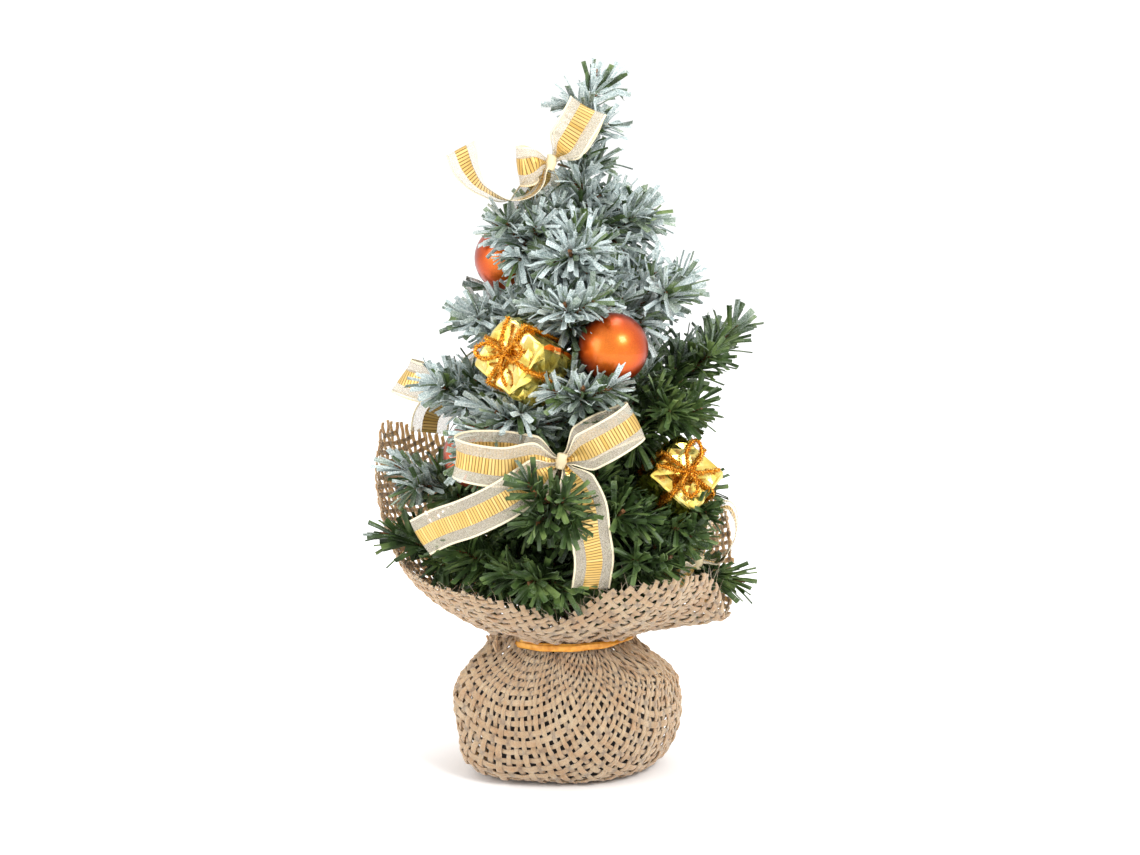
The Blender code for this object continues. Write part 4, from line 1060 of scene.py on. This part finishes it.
def ribbon_stretch(points, width_at_start, width_at_end):
    """One stretch of ribbon, gathered where it goes into the knot."""
    line = fine_line([place * MM for place in curve_through(points, 8)], 0.7 * MM)
    gone = np.concatenate([[0], np.cumsum([(b - a).length for a, b in zip(line, line[1:])])])
    closes = points[-1][0] ** 2 < 4
    shape = bmesh.new()
    coords = shape.loops.layers.uv.new("lay")
    count = len(line) - 1
    bmesh.ops.create_grid(shape, x_segments=count, y_segments=len(COLUMNS) - 1, size=0.5)
    cells = {}
    for vert in shape.verts:
        column = COLUMNS[round((vert.co.y + 0.5) * (len(COLUMNS) - 1))]
        cells[vert] = (round((vert.co.x + 0.5) * count), column)
    for face in shape.faces:
        across = sum(cells[vert][1] for vert in face.verts) / 4
        face.material_index = column_finish(across)
        for loop in face.loops:
            i, share = cells[loop.vert]
            loop[coords].uv = (share * RIBBON_WIDTH / MM, gone[i] / MM)
    for vert, (i, share) in cells.items():
        here = line[i]
        ahead = (line[min(i + 1, count)] - line[max(i - 1, 0)]).normalized()
        across = Vector(width_at_start).lerp(Vector(width_at_end), gone[i] / gone[-1])
        across = (across - ahead * across.dot(ahead)).normalized()
        face = across.cross(ahead).normalized()
        to_knot = min(gone[i], gone[-1] - gone[i]) if closes else gone[i]
        spread = min(1.0, to_knot / (7 * MM))
        spread = spread * spread * (3 - 2 * spread)
        pleat = math.cos(share * math.tau * 2.5) * 0.5 * MM * (1 - spread)
        cup = 0.55 * MM * math.cos(share * math.pi) * math.sin(gone[i] / (6.5 * MM) + 0.6)
        curl = 0.10 * MM * math.sin(gone[i] / (1.9 * MM) + share * 4)
        width = RIBBON_WIDTH * (0.2 + 0.8 * spread)
        vert.co = here + across * share * width + face * (pleat + cup * spread + curl)
    bmesh.ops.recalc_face_normals(shape, faces=shape.faces)
    return shape, float(gone[-1])


def knot_wrap():
    """The turn of ribbon round the knot: a short gathered barrel."""
    shape = bmesh.new()
    ring = bmesh.ops.create_circle(shape, segments=24, radius=1.0)["verts"]
    edges = shape.edges[:]
    previous = BARREL[0]
    for vert in ring:
        vert.co = (vert.co.x * previous[1], vert.co.y * previous[1], previous[0])
    for level, wide in BARREL[1:]:
        made = bmesh.ops.extrude_edge_only(shape, edges=edges)["geom"]
        fresh = [item for item in made if isinstance(item, bmesh.types.BMVert)]
        edges = [item for item in made if isinstance(item, bmesh.types.BMEdge)]
        bmesh.ops.scale(shape, verts=fresh, vec=(wide / previous[1], wide / previous[1], 1))
        bmesh.ops.translate(shape, verts=fresh, vec=(0, 0, level - previous[0]))
        previous = (level, wide)
    bmesh.ops.holes_fill(shape, edges=[edge for edge in shape.edges if edge.is_boundary], sides=0)
    for vert in shape.verts:
        turn = math.atan2(vert.co.y, vert.co.x)
        crease = 1 + 0.07 * math.cos(vert.co.z * 9 + 0.4 * math.sin(turn * 3))
        vert.co.x, vert.co.y = vert.co.x * crease, vert.co.y * crease
    bmesh.ops.recalc_face_normals(shape, faces=shape.faces)
    return shape


# Sheer organza: nylon so fine that it half lets the light through, with glitter specks. Its threads, a tenth
# of a millimetre apart, are drawn three times as coarse so that they show at all.
organza, shader = new_finish("sheer_cream_organza", "#e3ded2", 0.5, {"Alpha": 0.36, "Sheen Weight": 0.3})
lay = add_node(shader, "UVMap", {"uv_map": "lay"}, {})
specks = add_node(shader, "TexVoronoi", {"Scale": 2.4}, {"Vector": lay["UV"]})["Distance"]
glitter = ramp(shader, specks, (0.0, "#ffffff"), (0.14, "#fffdf8"), (0.22, "#ddd3bf"), (0.9, "#cbbfa8"))
shine = rescaled(shader, specks, {"From Min": 0.05, "From Max": 0.2, "To Min": 0.15, "To Max": 0.6})
feed(shader, {"Base Color": glitter, "Roughness": shine})
threads = add_node(shader, "TexNoise", {"Scale": 3.2, "Detail": 3.0}, {"Vector": lay["UV"]})
relief(shader, threads["Fac"], 0.4, 0.0001)

# Gold lurex: metallised yarn laid in ribs across the ribbon, just under a millimetre apart, bright on the
# ribs and bronze in the gaps between them.
lurex, shader = new_finish("ribbed_gold_lurex", "#e6c36c", 0.34, {"Metallic": 0.6})
lay = add_node(shader, "UVMap", {"uv_map": "lay"}, {})
middled = add_node(shader, "Mapping", {"Location": (2.5, 0, 0)}, {"Vector": lay["UV"]})
ribs = add_node(
    shader, "TexBrick",
    {"Scale": 1.0, "Brick Width": 5.0, "Row Height": 0.92, "Mortar Size": 0.15, "Mortar Smooth": 0.6,
     "offset": 0.0, "Color1": linear("#e6c47c"), "Color2": linear("#d3aa58"), "Mortar": linear("#94703a")},
    {"Vector": middled["Vector"]},
)
feed(shader, {"Base Color": ribs["Color"]})
relief(shader, ribs["Fac"], 0.9, 0.0003, invert=True)

# Corded edge: matt cream nylon, whipped over a cord every third of a millimetre.
corded_edge, shader = new_finish("corded_cream_edge", "#f0e2c2", 0.55)
lay = add_node(shader, "UVMap", {"uv_map": "lay"}, {})
whip = add_node(
    shader, "TexWave", {"Scale": 1.0, "bands_direction": "Y", "Distortion": 0.6}, {"Vector": lay["UV"]}
)["Fac"]
feed(shader, {"Base Color": ramp(shader, whip, (0.2, "#e0cfa8"), (0.8, "#f7ecd0"))})
relief(shader, whip, 0.5, 0.0001)

for name, stretches in BOWS.items():
    low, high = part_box(name + "_ribbon")
    ends = wire_ends(name + "_tie", (low + high) / 2)
    cloth_points = node_points(name + "_ribbon")
    near, far = sorted(ends, key=lambda end: np.linalg.norm(cloth_points - np.array(end), axis=1).min())
    knot_place = near - (far - near).normalized() * KNOT_OUT
    bow = bmesh.new()
    for stretch in stretches:
        piece, long = ribbon_stretch(*stretch)
        merge(bow, into_mesh(piece, "stretch", 60))
    bmesh.ops.translate(bow, verts=bow.verts, vec=knot_place)
    body = frame["nodes"][name + "_ribbon"]["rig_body"]
    tied = add_piece(
        name + "_organza", into_mesh(bow, name, 60), [organza, lurex, corded_edge], body,
        [name + "_ribbon"],
    )
    wall = tied.modifiers.new("thickness", "SOLIDIFY")
    wall.thickness = RIBBON_THICKNESS
    wall.offset = 0
    barrel = knot_wrap()
    bmesh.ops.scale(barrel, verts=barrel.verts, vec=KNOT_SIZE)
    bmesh.ops.rotate(barrel, verts=barrel.verts, cent=(0, 0, 0), matrix=Matrix.Rotation(0.25, 3, "Y"))
    bmesh.ops.translate(barrel, verts=barrel.verts, vec=knot_place)
    wrapped = add_piece(name + "_knot", into_mesh(barrel, "knot", 60), [corded_edge], body)


# ---------------------------------------------------------------- studio
# A pale flat floor, soft lights from the right front, the left and above, and the camera ten degrees above
# the table.
CAMERA_DISTANCE = 0.75
FIELD_WIDTH = 0.3249  # across the view, at the tree
SENSOR = 36  # millimetres
AIM = Vector((0.000285, 0, 0.09886))
floor_shape = bmesh.new()
bmesh.ops.create_grid(floor_shape, x_segments=1, y_segments=1, size=6.0)
floor_mesh = into_mesh(floor_shape, "floor")
floor = bpy.data.objects.new("floor", floor_mesh)
bpy.context.scene.collection.objects.link(floor)
pale_floor, shader = new_finish("pale_floor", "#fbfbfb", 0.9, {"Specular IOR Level": 0.1})
floor_mesh.materials.append(pale_floor)

world = bpy.data.worlds.new("soft_surround")
bpy.context.scene.world = world
world.use_nodes = True
surround = world.node_tree.nodes["Background"]
surround.inputs["Color"].default_value = linear("#ffffff")
surround.inputs["Strength"].default_value = 1.1


def soft_light(name, place, power, size):
    lamp = bpy.data.lights.new(name, "AREA")
    lamp.energy = power
    lamp.size = size
    holder = bpy.data.objects.new(name, lamp)
    bpy.context.scene.collection.objects.link(holder)
    holder.location = place
    holder.rotation_euler = (Vector((0, 0, 0.09)) - Vector(place)).to_track_quat("-Z", "Y").to_euler()


soft_light("key_light", (0.55, -0.75, 0.75), 8.0, 0.35)
soft_light("fill_light", (-0.9, -0.5, 0.4), 4.0, 0.6)
soft_light("top_light", (0.0, 0.25, 1.1), 5.0, 0.6)

lens = bpy.data.cameras.new("camera")
lens.sensor_width = SENSOR
lens.lens = SENSOR * CAMERA_DISTANCE / FIELD_WIDTH
camera = bpy.data.objects.new("camera", lens)
bpy.context.scene.collection.objects.link(camera)
tilt = math.radians(10)
back = Vector((0, -math.cos(tilt), math.sin(tilt)))
camera.location = AIM + back * CAMERA_DISTANCE
camera.rotation_mode = "QUATERNION"
camera.rotation_quaternion = (-back).to_track_quat("-Z", "Y")
bpy.context.scene.camera = camera
bpy.context.scene.view_settings.view_transform = "Standard"
